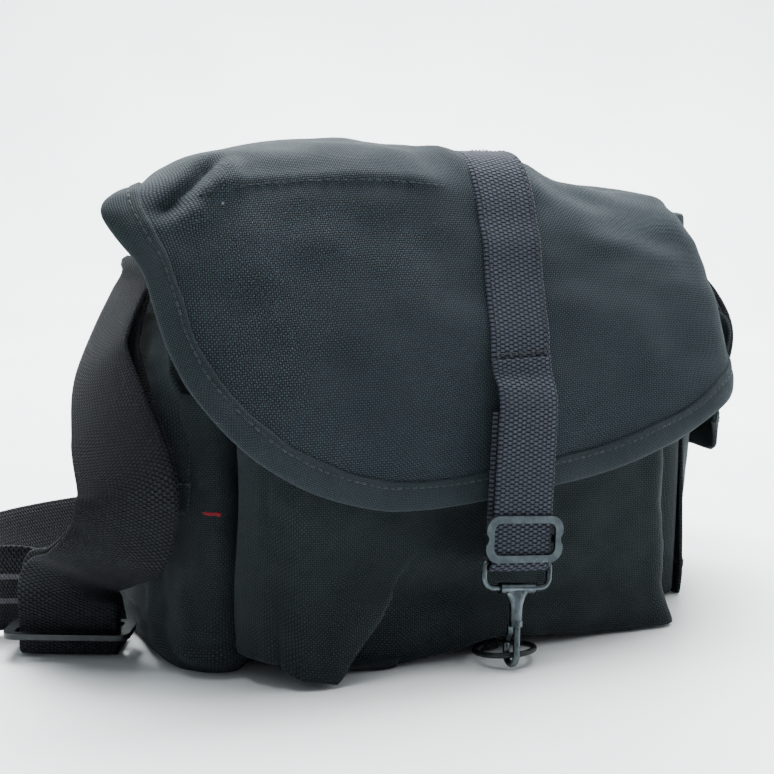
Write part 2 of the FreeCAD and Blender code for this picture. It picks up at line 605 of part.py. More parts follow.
def shoulder_strap():
    w, t = dim("shoulder_w"), dim("shoulder_t")
    solid("strap_left_hang", ribbon(LEFT_HANG, w, 2 * t))
    solid("strap_floor_loop", ribbon(FLOOR_RUN, w, t, 0, LOOP_END))
    solid("strap_back_run", ribbon(FLOOR_RUN, w, t, LOOP_END, BACK_END))
    solid("strap_right_hang", ribbon(FLOOR_RUN, w, 2 * t, BACK_END))
    # below the last section the two layers part, pass the slide's slots and fold under its middle bar
    across = V(SLIDE_ACROSS).normalize()
    turn = FreeCAD.Rotation(across, V(0, 0, 1).cross(across), V(0, 0, 1), "ZXY")
    frame = FreeCAD.Placement(SLIDE_AT, turn)
    apart = 3.4
    floor_gap = 0.5
    low = -SLIDE_AT.z + floor_gap
    high = 14.4
    layers = [Part.makeBox(w, t, high - low, V(-w / 2, s * apart - t / 2, low)) for s in (-1, 1)]
    # the strap leaves flat along the floor under the slide, then turns on edge
    under = Part.makeBox(w, apart + t / 2 + STRAP_LEAD, t, V(-w / 2, -apart - t / 2, low))
    solid("strap_fold", layers[0].fuse([layers[1], under]).removeSplitter(), frame)

    # the slide: a stamped frame with two slots
    half_x, half_y, plate = w / 2 + 5.5, 10.5, 2.2
    outer = Part.makeBox(2 * half_x, 2 * half_y, plate, V(-half_x, -half_y, -plate / 2))
    outer = outer.makeFillet(5.0, [e for e in outer.Edges if is_upright(e)])
    for s in (-1, 1):
        slot = Part.makeBox(w + 2.4, 5.6, plate + 2, V(-w / 2 - 1.2, s * 4.4 - 2.8, -plate / 2 - 1))
        slot = slot.makeFillet(1.8, [e for e in slot.Edges if is_upright(e)])
        outer = outer.cut(slot)
    solid("shoulder_slide", outer, frame)


# ---------------------------------------------------------------- assemble, check and write
main_compartment()
padded_insert()
front_pocket()
for side_name, side_sign in (("left", -1), ("right", 1)):
    end_pocket(side_name, side_sign)
    strap_ring(side_name, side_sign)
side_label()
flap()
closure_strap()
closure_slide()
hook_loop()
gate_pivot = gate(*snap_hook())
ring_and_tab()
shoulder_strap()
doc.recompute()

failed = [o.Name for o in doc.Objects if {"Invalid", "Error"} & set(o.State)]
for node, obj in NODES.items():
    shape = obj.Shape
    if shape.isNull() or not shape.isValid() or not shape.Solids or shape.Volume <= 0:
        failed.append(node)
if failed:
    raise SystemExit(f"failed: {failed}")

os.makedirs("parts", exist_ok=True)
for stale in os.listdir("parts"):
    os.remove(os.path.join("parts", stale))
for node, obj in NODES.items():
    obj.Shape.exportStep(f"parts/{node}.step")
    b = obj.Shape.BoundBox
    print(f"{node:28s} solids {len(obj.Shape.Solids)} x {b.XMin:7.1f} {b.XMax:7.1f}  y {b.YMin:7.1f}"
          f" {b.YMax:7.1f}  z {b.ZMin:7.2f} {b.ZMax:7.1f}  vol {obj.Shape.Volume:9.1f}")
print("hang pivot", CLOSURE_TOP, "loop pivot", LOOP_AT, "hook pivot", HOOK_AT,
      "gate pivot", HOOK_FRAME.multVec(gate_pivot), "hook x axis", HOOK_FRAME.Rotation.multVec(V(1, 0, 0)),
      "hang x axis", HANG.Rotation.multVec(V(1, 0, 0)), "hang z axis", HANG.Rotation.multVec(V(0, 0, 1)))
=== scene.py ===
import json
from math import cos, pi, radians, sin

import bpy
import numpy as np
from mathutils import Matrix, Vector


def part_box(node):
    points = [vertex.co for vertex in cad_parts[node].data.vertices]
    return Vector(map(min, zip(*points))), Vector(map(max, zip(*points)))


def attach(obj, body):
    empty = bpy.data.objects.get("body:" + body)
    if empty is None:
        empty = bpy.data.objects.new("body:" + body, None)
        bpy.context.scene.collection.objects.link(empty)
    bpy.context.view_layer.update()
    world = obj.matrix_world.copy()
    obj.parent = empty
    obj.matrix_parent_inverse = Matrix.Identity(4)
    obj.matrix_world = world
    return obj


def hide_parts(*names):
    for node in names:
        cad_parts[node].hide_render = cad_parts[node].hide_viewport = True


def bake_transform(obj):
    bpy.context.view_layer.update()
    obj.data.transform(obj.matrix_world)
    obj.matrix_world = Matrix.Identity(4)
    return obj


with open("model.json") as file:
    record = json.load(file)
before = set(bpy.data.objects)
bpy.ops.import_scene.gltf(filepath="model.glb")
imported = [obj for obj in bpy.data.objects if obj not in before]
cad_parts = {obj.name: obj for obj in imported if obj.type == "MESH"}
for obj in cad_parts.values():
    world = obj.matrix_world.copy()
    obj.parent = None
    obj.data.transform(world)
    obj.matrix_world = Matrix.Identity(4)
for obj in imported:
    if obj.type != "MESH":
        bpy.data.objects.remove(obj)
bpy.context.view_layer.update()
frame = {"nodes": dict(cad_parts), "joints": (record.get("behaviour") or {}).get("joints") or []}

# Lengths in this script are millimetres until a mesh is written, which is in metres.
MM = 0.001


# ---- small maths
def arr(*rows):
    return np.array(rows, float)


def box(node):
    """A CAD node's lowest and highest corners, in millimetres."""
    return [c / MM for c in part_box(node)]


def ease(x, a, b):
    """0 before a, 1 after b, smooth between."""
    t = np.clip((np.asarray(x, float) - a) / (b - a), 0, 1)
    return t * t * (3 - 2 * t)


def bell(x, middle, half):
    return np.exp(-((np.asarray(x, float) - middle) / half) ** 2)


def unit(v):
    return v / np.maximum(np.linalg.norm(v, axis=-1, keepdims=True), 1e-9)


def waves(seed, p, size, octaves=3):
    """Smooth noise of about -1 to 1 over points p, whose largest waves are size long."""
    rng = np.random.default_rng(seed)
    p = np.asarray(p, float)
    out, amount, total = np.zeros(p.shape[:-1]), 1.0, 0.0
    for _ in range(octaves):
        for _ in range(5):
            way = unit(rng.normal(size=p.shape[-1]))
            out += amount * np.sin(p @ way * 2 * pi / (size * rng.uniform(0.75, 1.3)) + rng.uniform(0, 6.28))
        total += amount * 2.2
        size, amount = size * 0.5, amount * 0.5
    return out / total


def through(xs, values, x):
    """Smooth curve through values (n, ...) at the stations xs, read at each x (m,): (m, ...)."""
    xs, values = np.asarray(xs, float), np.asarray(values, float)
    slope = np.gradient(values, xs, axis=0)
    i = np.clip(np.searchsorted(xs, x, side="right") - 1, 0, len(xs) - 2)
    extra = (1,) * (values.ndim - 1)
    h = (xs[i + 1] - xs[i]).reshape(-1, *extra)
    t = ((x - xs[i]) / (xs[i + 1] - xs[i])).reshape(-1, *extra)
    return ((2 * t ** 3 - 3 * t ** 2 + 1) * values[i] + (t ** 3 - 2 * t ** 2 + t) * h * slope[i]
            + (3 * t ** 2 - 2 * t ** 3) * values[i + 1] + (t ** 3 - t ** 2) * h * slope[i + 1])


def lengths(points):
    """Distance along a polyline at each of its points."""
    return np.concatenate([[0], np.cumsum(np.linalg.norm(np.diff(points, axis=0), axis=1))])


def read_at(x, xs, points):
    """Rows of points (n, k), known at xs, read at each x."""
    return np.stack([np.interp(x, xs, points[:, k]) for k in range(points.shape[1])], 1)


def resample(points, step):
    """Points step apart along a polyline, and the distance of each."""
    far = lengths(points)
    at = np.linspace(0, far[-1], max(4, int(round(far[-1] / step))) + 1)
    return read_at(at, far, points), at


def smooth_path(points, step):
    """A dense smooth curve through a few points (n, k), evenly spaced by its first three columns."""
    far = lengths(points[:, :3])
    fine = through(far, points, np.linspace(0, far[-1], 40 * len(points)))
    run = lengths(fine[:, :3])
    at = np.linspace(0, run[-1], max(4, int(run[-1] / step)) + 1)
    return read_at(at, run, fine), at


# ---- meshes
STITCH = 3.2, 2.3, 0.3          # the usual row of stitches: pitch, length of each, radius


def in_scene(name, data):
    ob = bpy.data.objects.new(name, data)
    bpy.context.scene.collection.objects.link(ob)
    return ob


def mesh(name, points, faces, loop_uv=None, materials=(), face_material=None):
    me = bpy.data.meshes.new(name)
    me.from_pydata((np.asarray(points) * MM).tolist(), [], [list(map(int, f)) for f in faces])
    if loop_uv is not None:
        layer = me.uv_layers.new(name="cloth")
        layer.data.foreach_set("uv", (np.asarray(loop_uv, float) * MM).astype(np.float32).ravel())
    for m in materials:
        me.materials.append(m)
    if face_material is not None:
        me.polygons.foreach_set("material_index", np.asarray(face_material, np.int32))
    me.polygons.foreach_set("use_smooth", np.ones(len(me.polygons), bool))
    me.update()
    return in_scene(name, me)


def grid(name, p, uv, material, wrap=False, thick=0.0, offset=-1.0, subdiv=0, caps=False, under=None):
    """A sheet or tube from points p (rows, columns, 3). uv (rows, columns, 2) is in millimetres of cloth,
    with one more column if the columns wrap. thick adds a second side. under is the material of columns past
    the middle."""
    rows, cols = p.shape[:2]
    span = cols if wrap else cols - 1
    i, j = (a.ravel() for a in np.meshgrid(np.arange(rows - 1), np.arange(span), indexing="ij"))
    k = (j + 1) % cols
    faces = np.stack([i * cols + j, i * cols + k, (i + 1) * cols + k, (i + 1) * cols + j], 1)
    loops = np.stack([uv[i, j], uv[i, j + 1], uv[i + 1, j + 1], uv[i + 1, j]], 1).reshape(-1, 2)
    kinds = (j >= cols // 2).astype(int) if under else np.zeros(len(faces), int)
    faces, kinds = faces.tolist(), kinds.tolist()
    if caps:
        for row, back in ((0, True), (rows - 1, False)):
            ring = [row * cols + c for c in range(cols)]
            loops = np.vstack([loops, uv[row, :cols][::-1] if back else uv[row, :cols]])
            faces.append(ring[::-1] if back else ring)
            kinds.append(0)
    ob = mesh(name, p.reshape(-1, 3), faces, loops, [m for m in (material, under) if m], kinds)
    if thick:
        m = ob.modifiers.new("two_sides", "SOLIDIFY")
        m.thickness, m.offset, m.use_even_offset = thick * MM, offset, False
    if subdiv:
        m = ob.modifiers.new("round", "SUBSURF")
        m.levels = m.render_levels = subdiv
    return ob


def cloth_uv(across, down):
    """Cloth coordinates of a grid, from the distance of each column and of each row."""
    return np.stack(np.broadcast_arrays(across[None], down[:, None]), -1)


def rim_length(profile):
    """Distance round a closed profile at each of its points and back at its first."""
    return lengths(np.vstack([profile, profile[:1]]))


def normals_of(f, u, v, step=0.6):
    """Point and unit normal of the surface f at (u, v)."""
    du = f(u + step, v) - f(u - step, v)
    dv = f(u, v + step) - f(u, v - step)
    return f(u, v), unit(np.cross(du, dv))


def square_to(w, along):
    """The directions w turned square to the path's directions along."""
    return unit(w - along * np.sum(w * along, axis=1, keepdims=True))


def ribbon(name, path, across, width, thick, material, step=2.0, under=None, crown=0.25, twist_seed=None,
           smooth=True):
    """Webbing along path (n, 3), a closed strip with rounded edges. Its width lies along across, which is one
    direction or one for each point."""
    both = np.hstack([path, np.broadcast_to(across, np.shape(path))])
    fine, at = smooth_path(both, step) if smooth else resample(both, step)
    c, w = fine[:, :3], fine[:, 3:]
    along = unit(np.gradient(c, axis=0))
    w = square_to(w, along)
    half, r = width / 2, thick / 2
    c[:, 2] = np.maximum(c[:, 2], half * np.abs(w[:, 2]) + thick)
    n = np.cross(along, w)
    side = np.linspace(-half + 0.5, half - 0.5, 9)
    top = [(x, r + crown * (1 - (x / half) ** 2) * 0.5) for x in side]
    low = [(x, -r - crown * (1 - (x / half) ** 2) * 0.3) for x in side[::-1]]
    edge = [(half - 0.1, r * 0.6), (half, 0.0), (half - 0.1, -r * 0.6)]
    profile = arr(*top, *edge, *low, *[(-x, -y) for x, y in edge])
    p = c[:, None] + w[:, None] * profile[None, :, :1] + n[:, None] * profile[None, :, 1:]
    if twist_seed is not None:
        p = p + n[:, None] * (waves(twist_seed, p, 60, 2)[..., None] * 0.5)
    u = np.concatenate([profile[:, 0], profile[:1, 0]])
    return grid(name, p, cloth_uv(u + half, at), material, wrap=True, caps=True, under=under)


def capsules(name, centres, along, up, length, radius, material):
    """Stitches: one small rounded bar for each centre, lying along along, flattened towards the cloth."""
    ends = [(-0.5, 0.0), (-0.44, 0.62), (-0.3, 0.95), (0.0, 1.0), (0.3, 0.95), (0.44, 0.62), (0.5, 0.0)]
    sides = 6
    along, up = (unit(np.broadcast_to(way, centres.shape)) for way in (along, up))
    side = np.cross(along, up)
    turns = [2 * pi * k / sides for k in range(sides)]
    shape = arr(*[(e * length, cos(t) * r * radius, sin(t) * r * radius * 0.8)
                  for e, r in ends for t in turns])
    pts = (centres[:, None] + along[:, None] * shape[None, :, :1] + side[:, None] * shape[None, :, 1:2]
           + up[:, None] * shape[None, :, 2:])
    faces = np.array([(q + k, q + (k + 1) % sides, q + sides + (k + 1) % sides, q + sides + k)
                      for q in range(0, (len(ends) - 1) * sides, sides) for k in range(sides)])
    every = (faces[None] + (np.arange(len(centres)) * len(shape))[:, None, None]).reshape(-1, 4)
    return mesh(name, pts.reshape(-1, 3), every, None, [material])


def stitches(name, lines, pitch, length, radius, material):
    """Stitches pitch apart along each line, given as its points and their normals."""
    rows = [resample(np.hstack(line), pitch)[0] for line in lines]
    centres = np.concatenate([r[:, :3] for r in rows])
    along = np.concatenate([np.gradient(r[:, :3], axis=0) for r in rows])
    return capsules(name, centres, along, np.concatenate([r[:, 3:] for r in rows]), length, radius, material)


# ---- materials
class Shader:
    """A Principled material whose nodes are made by short calls."""

    def __init__(self, name, **sockets):
        self.mat = bpy.data.materials.new(name)
        self.mat.use_nodes = True
        self.tree = self.mat.node_tree
        self.bsdf = self.tree.nodes["Principled BSDF"]
        for key, value in sockets.items():
            self.bsdf.inputs[key.replace("_", " ")].default_value = value

    def node(self, kind, inputs, **props):
        n = self.tree.nodes.new(kind)
        for key, value in props.items():
            setattr(n, key, value)
        for key, value in inputs.items():
            self.put(n.inputs[key], value)
        return n

    def put(self, socket, value):
        if hasattr(value, "is_output"):
            self.tree.links.new(value, socket)
        else:
            socket.default_value = value

    def math(self, op, *values, clamp=False):
        return self.node("ShaderNodeMath", dict(enumerate(values)), operation=op, use_clamp=clamp).outputs[0]

    def times(self, a, b, clamp=False):
        return self.math("MULTIPLY", a, b, clamp=clamp)

    def times_add(self, a, b, c, clamp=False):
        return self.math("MULTIPLY_ADD", a, b, c, clamp=clamp)

    def size(self, a):
        return self.math("ABSOLUTE", a)

    def uv(self):
        uv = self.node("ShaderNodeUVMap", {}, uv_map="cloth").outputs[0]
        s = self.node("ShaderNodeSeparateXYZ", {0: uv})
        return uv, s.outputs[0], s.outputs[1]

    def place(self):
        return self.node("ShaderNodeTexCoord", {}).outputs["Object"]

    def noise(self, vector, scale, detail=2.0, rough=0.5):
        inputs = {"Vector": vector, "Scale": scale, "Detail": detail, "Roughness": rough}
        return self.node("ShaderNodeTexNoise", inputs).outputs["Fac"]

    def spots(self, vector, scale):
        return self.node("ShaderNodeTexVoronoi", {"Vector": vector, "Scale": scale}).outputs["Distance"]

    def span(self, x, a, b, lo=0.0, hi=1.0):
        """x from a to b, smoothly turned into lo to hi."""
        inputs = {"Value": x, "From Min": a, "From Max": b, "To Min": lo, "To Max": hi}
        return self.node("ShaderNodeMapRange", inputs, interpolation_type="SMOOTHSTEP").outputs["Result"]

    def mix(self, fac, a, b):
        n = self.node("ShaderNodeMix", {"Factor": fac}, data_type="RGBA")
        for socket, v in zip((s for s in n.inputs if s.type == "RGBA"), (a, b)):
            self.put(socket, v if hasattr(v, "is_output") else (*v, 1.0))
        return [s for s in n.outputs if s.type == "RGBA"][0]

    def bump(self, height, distance, strength=1.0, under=None):
        n = self.node("ShaderNodeBump", {"Distance": distance, "Strength": strength, "Height": height})
        if under is not None:
            self.put(n.inputs["Normal"], under)
        return n.outputs[0]

    def use(self, **links):
        for key, value in links.items():
            self.put(self.bsdf.inputs[key.replace("_", " ")], value)
        return self.mat


def duck(name, low, high, pitch=0.00082, fade=0.30, relief=0.00022):
    """Plain-woven cotton duck: round threads over and under each other, faded in patches, with lint."""
    s = Shader(name, Sheen_Weight=0.045, Sheen_Roughness=0.4, Sheen_Tint=(0.66, 0.82, 0.92, 1),
               Specular_IOR_Level=0.22)
    uv, u, v = s.uv()
    u2 = s.times_add(s.noise(uv, 150.0, 1.0), 0.0009, u)
    v2 = s.times_add(s.noise(uv, 130.0, 1.0), -0.0009, v)
    a = s.math("SINE", s.times(u2, pi / pitch))
    b = s.math("SINE", s.times(v2, pi / pitch))
    both = s.times(a, b)
    crown = s.size(both)
    over = s.span(both, -0.15, 0.15)
    place = s.place()
    patch = s.noise(place, 16.0, 4.0, 0.55)
    fine = s.noise(uv, 900.0, 2.0, 0.6)
    lift = s.times_add(patch, fade, s.times_add(fine, 0.7, -0.35 - fade / 2))
    thread = s.times(crown, s.times_add(over, 0.55, 0.45))
    tone = s.math("ADD", thread, s.times(lift, s.times_add(crown, 0.8, 0.2)), clamp=True)
    colour = s.mix(tone, low, high)
    fleck = s.times(s.math("LESS_THAN", s.spots(uv, 95.0), 0.055),
                   s.math("GREATER_THAN", s.noise(uv, 60.0, 1.0), 0.62))
    colour = s.mix(s.times(fleck, 0.35), colour, (0.32, 0.35, 0.36))
    height = s.times_add(fine, 0.35, crown)
    soft = s.bump(s.noise(place, 55.0, 3.0), 0.0012, 0.35)
    return s.use(Base_Color=colour, Roughness=s.span(patch, 0.3, 0.7, 0.95, 0.83),
                 Normal=s.bump(height, relief, 1.0, soft))


def ribbed(name, low, high, across, down, stripes=(), stripe_colour=None):
    """Heavy webbing: short dashes of fat yarn in columns, each half a row out of step with the next."""
    s = Shader(name, Sheen_Weight=0.03, Sheen_Roughness=0.5, Sheen_Tint=(0.8, 0.78, 0.9, 1),
               Specular_IOR_Level=0.14)
    uv, u, v = s.uv()
    column = s.math("DIVIDE", s.times_add(s.noise(uv, 240.0, 2.0), 0.0004, u), across)
    odd = s.math("GREATER_THAN", s.math("FRACT", s.times(column, 0.5)), 0.5)
    row = s.math("ADD", s.math("DIVIDE", s.times_add(s.noise(uv, 200.0, 1.0), 0.0004, v), down),
                 s.times(odd, 0.5))
    ribs = s.size(s.math("SINE", s.times(column, pi)))
    knots = s.size(s.math("SINE", s.times(row, pi)))
    crown = s.times(s.math("POWER", ribs, 0.4), s.span(knots, 0.22, 0.86))
    hair = s.noise(uv, 1700.0, 3.0, 0.65)
    patch = s.noise(s.place(), 30.0, 3.0)
    tone = s.times(crown, s.math("ADD", s.times_add(hair, 1.1, 0.12),
                                            s.times(patch, 0.4)), clamp=True)
    colour = s.mix(tone, low, high)
    for at in stripes:
        near = s.math("LESS_THAN", s.size(s.math("SUBTRACT", u, at)), 0.0012)
        colour = s.mix(s.times(near, 0.8), colour, stripe_colour)
    height = s.times_add(hair, 0.3, crown)
    return s.use(Base_Color=colour, Roughness=s.span(hair, 0.3, 0.7, 0.95, 0.8),
                 Normal=s.bump(height, 0.0006))


def plain_cloth(name, low, high, scale, sheen=0.2):
    """Thread, padding and tag: a fine fibrous surface with a soft mottle."""
    s = Shader(name, Sheen_Weight=sheen, Specular_IOR_Level=0.2)
    place = s.place()
    fibre = s.noise(place, scale, 3.0, 0.6)
    patch = s.noise(place, 40.0, 3.0)
    tone = s.times_add(fibre, 0.7, s.times_add(patch, 0.5, -0.1), clamp=True)
    return s.use(Base_Color=s.mix(tone, low, high), Roughness=s.span(patch, 0.3, 0.7, 0.95, 0.84),
                 Normal=s.bump(fibre, 0.0002, 0.8))


def metal(name, dark, light, wear, rough, metallic=1.0, grain=2500.0):
    """Satin plated or painted metal: a fine grain, a soft mottle and rubbed spots."""
    s = Shader(name, Metallic=metallic, Specular_IOR_Level=0.5)
    place = s.place()
    speck = s.noise(place, grain, 3.0, 0.6)
    patch = s.noise(place, 220.0, 4.0, 0.6)
    colour = s.mix(s.span(patch, 0.35, 0.7), dark, light)
    rubbed = s.span(s.noise(place, 480.0, 4.0, 0.7), 0.63, 0.72)
    colour = s.mix(s.times(rubbed, 0.5), colour, wear)
    mottle = s.span(patch, 0.3, 0.7, rough, rough + 0.1)
    return s.use(Base_Color=colour, Roughness=s.times_add(speck, 0.12, mottle),
                 Normal=s.bump(speck, 0.00004, 0.6))


# canvas is the flap's cloth; the second material is the same cloth made darker for the lower walls, pockets
# and end flaps: painted shade
CANVAS = duck("canvas", (0.0010, 0.0016, 0.0021), (0.038, 0.058, 0.072))
CANVAS_PAINTED_SHADE = duck("canvas_lower_painted_shade", (0.0010, 0.0016, 0.0020), (0.024, 0.036, 0.041), fade=0.25)
BINDING = duck("binding", (0.002, 0.0033, 0.0042), (0.040, 0.058, 0.068), pitch=0.00062, fade=0.25,
               relief=0.00014)
PADDING = plain_cloth("brushed_lining", (0.03, 0.034, 0.038), (0.075, 0.08, 0.086), 1400.0, sheen=0.4)
WEBBING = ribbed("closure_webbing", (0.006, 0.0068, 0.0092), (0.058, 0.066, 0.088), 0.0019, 0.0017)
STRAP_LOOK = (0.0016, 0.0017, 0.0021), (0.015, 0.0175, 0.0215), 0.0015, 0.0013
SHOULDER = ribbed("shoulder_webbing", *STRAP_LOOK)
GRIP = ribbed("shoulder_webbing_grip", *STRAP_LOOK, stripes=(0.0135, 0.0246),
              stripe_colour=(0.08, 0.08, 0.09))
THREAD = plain_cloth("thread", (0.006, 0.009, 0.011), (0.026, 0.036, 0.042), 3000.0)
THREAD_DARK = plain_cloth("thread_dark", (0.004, 0.005, 0.006), (0.022, 0.024, 0.029), 3000.0)
RED = plain_cloth("red_cloth", (0.10, 0.002, 0.006), (0.17, 0.006, 0.012), 1800.0)
BOARD = metal("board", (0.02, 0.02, 0.022), (0.035, 0.035, 0.038), (0.06, 0.06, 0.06), 0.7, 0.0, 900.0)
GUNMETAL = metal("gunmetal", (0.05, 0.062, 0.07), (0.10, 0.118, 0.128), (0.32, 0.36, 0.37), 0.2)
SATIN_METAL = metal("satin_metal", (0.042, 0.052, 0.058), (0.075, 0.09, 0.098), (0.2, 0.23, 0.24), 0.36)
BLACK_METAL = metal("black_metal", (0.012, 0.015, 0.016), (0.024, 0.028, 0.030), (0.10, 0.11, 0.11), 0.27,
                    0.6)


def finish_piece(ob, body, replaces=()):
    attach(ob, body)
    if replaces:
        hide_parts(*replaces)
    return ob


def bend_piece(ob, slot, replaces, a, b, start, end):
    if replaces:
        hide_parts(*replaces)
    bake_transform(ob)
    return ob


# ---- camera, light and floor
VIEW_YAW = radians(26.9)


def camera(at, yaw, pitch, lens):
    """A level camera at a point in millimetres, turned yaw to the right of +Y and pitch down, in radians."""
    y, p = yaw, pitch
    ahead = Vector((sin(y) * cos(p), cos(y) * cos(p), -sin(p)))
    right = Vector((cos(y), -sin(y), 0))
    up = right.cross(ahead)
    data = bpy.data.cameras.new("camera")
    data.lens, data.sensor_width = lens, 36.0
    data.clip_start, data.clip_end = 0.02, 30.0
    ob = in_scene("camera", data)
    turn = Matrix((right, up, -ahead)).transposed().to_4x4()
    ob.matrix_world = Matrix.Translation(Vector(at) * MM) @ turn
    bpy.context.scene.camera = ob


def area_light(name, at, aim, size, power, colour=(1, 1, 1)):
    data = bpy.data.lights.new(name, "AREA")
    data.shape, data.size, data.size_y = "RECTANGLE", size[0], size[1]
    data.energy, data.color = power, colour
    ob = in_scene(name, data)
    ob.location = at
    ob.rotation_euler = (Vector(aim) - Vector(at)).to_track_quat("-Z", "Y").to_euler()


def studio():
    world = bpy.data.worlds.new("studio")
    world.use_nodes = True
    world.node_tree.nodes["Background"].inputs[0].default_value = (0.90, 0.96, 1.0, 1)
    world.node_tree.nodes["Background"].inputs[1].default_value = 0.36
    bpy.context.scene.world = world
    area_light("overhead", (0.05, 0.4, 1.5), (0, 0.1, 0), (1.4, 1.4), 84, (0.97, 0.99, 1.0))
    area_light("window", (1.5, -0.9, 0.9), (0, 0, 0.1), (1.0, 1.0), 8, (0.98, 1.0, 1.0))
    area_light("backdrop", (0.5, 0.6, 1.8), (0.65, 1.3, 0.2), (1.6, 1.0), 95, (0.98, 1.0, 1.0))
    # floor that sweeps up behind the bag, turned to face the camera
    sweep = np.linspace(0.12, pi / 2, 14)
    y = np.concatenate([np.linspace(-2600, 900, 8), 900 + 420 * np.sin(sweep), [1320] * 3])
    z = np.concatenate([np.zeros(8), 420 * (1 - np.cos(sweep)), [900, 1600, 2600]])
    x, y, z = np.broadcast_arrays(np.linspace(-3500, 3500, 15)[None], y[:, None], z[:, None])
    c, s = cos(-VIEW_YAW), sin(-VIEW_YAW)
    p = np.stack([x * c - y * s, x * s + y * c, z], -1)
    m = Shader("pale_stone", Roughness=0.42, Specular_IOR_Level=0.35)
    place = m.place()
    cloud = m.noise(place, 5.0, 4.0)
    m.use(Base_Color=m.mix(m.span(cloud, 0.3, 0.7), (0.86, 0.90, 0.91), (0.93, 0.95, 0.95)),
          Normal=m.bump(m.noise(place, 60.0, 2.0), 0.0003, 0.2))
    grid("floor", p, p[..., :2], m.mat, subdiv=1)


camera((-305.7, -565.7, 192.2), VIEW_YAW, radians(8.7), 70.65)
studio()


# ---- main compartment
def rounded_rect(half_x, half_y, r, n):
    """n points round a rectangle with round corners, from the middle of the back anticlockwise from above."""
    pts = [(0, half_y)]
    for side_x, side_y, start in ((-1, 1, 90), (-1, -1, 180), (1, -1, 270), (1, 1, 0)):
        for a in np.radians(np.linspace(start, start + 90, 7)):
            pts.append((side_x * (half_x - r) + r * cos(a), side_y * (half_y - r) + r * sin(a)))
    pts.append((0, half_y))
    fine, _ = resample(arr(*pts), 1.0)
    return read_at(np.linspace(0, len(fine) - 1, n + 1), np.arange(len(fine)), fine)[:-1]


def main_shell():
    """The compartment: a lofted shell with soft corners whose walls sag and belly between its seams."""
    half_x, half_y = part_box("right_wall")[1].x / MM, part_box("back_wall")[1].y / MM
    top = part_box("front_wall")[1].z / MM
    corner, n = 11, 150
    rows = []
    for share in (0.03, 0.25, 0.5, 0.75, 0.9, 0.975):
        rows.append(np.column_stack([rounded_rect(half_x * share, half_y * share, corner * share, n),
                                     np.full(n, 0.9)]))
    ring = rounded_rect(half_x, half_y, corner, n)
    out = unit(np.column_stack([ring[:, 0] / half_x ** 2, ring[:, 1] / half_y ** 2]))
    for z in np.concatenate([[1.2, 3.5, 7.0], np.linspace(12, top, 34)]):
        p = np.column_stack([ring, np.full(n, z)])
        rise = sin(pi * min(1, z / top))
        loose = np.where(ring[:, 1] > half_y - 3, 1.6, 0.4)
        fold = waves(3, p * arr(1, 1, 0.55), 75, 3) * loose * rise ** 0.7
        p[:, :2] += out * (rise * 1.3 - 0.8 + fold)[:, None]
        # the mouth is lower at the right
        p[:, 2] -= ease(z, 120, top) * (6.5 * ease(ring[:, 0], 20, 90) + 1.5)
        if z < 3:
            p[:, :2] -= out * 1.2
        rows.append(p)
    p = np.array(rows)
    around = rim_length(ring)
    ob = grid("bag_shell", p, cloth_uv(around, lengths(p[:, 0])), CANVAS_PAINTED_SHADE, wrap=True, thick=1.9)
    finish_piece(ob, "bag", ("base_panel", "front_wall", "back_wall", "left_wall", "right_wall"))

    # the mouth's hem: tape folded over the top edge
    top_row = p[-1]
    out = np.column_stack([out, np.zeros(n)])
    profile = [(0.5, -9.0), (1.1, -8.0), (1.1, 1.5), (0.6, 3.2), (-1.0, 3.9), (-2.6, 3.2), (-3.2, 1.5),
               (-3.2, -8.0), (-2.6, -9.0), (-1.0, -8.6)]
    q = np.stack([top_row + out * a + arr(0, 0, b) for a, b in profile], 1)
    q = np.concatenate([q, q[:1]])
    q[..., 2] += waves(5, q, 30, 2) * 0.3
    hem = grid("mouth_binding", q, cloth_uv(rim_length(profile), around), BINDING, wrap=True, subdiv=1)
    finish_piece(hem, "bag", ("mouth_hem",))
    line = top_row + out * 1.15 + arr(0, 0, -6.5)
    closed = np.vstack([line, line[:1]]), np.vstack([out, out[:1]])
    finish_piece(stitches("mouth_stitches", [closed], 3.2, 2.3, 0.32, THREAD), "bag")


main_shell()


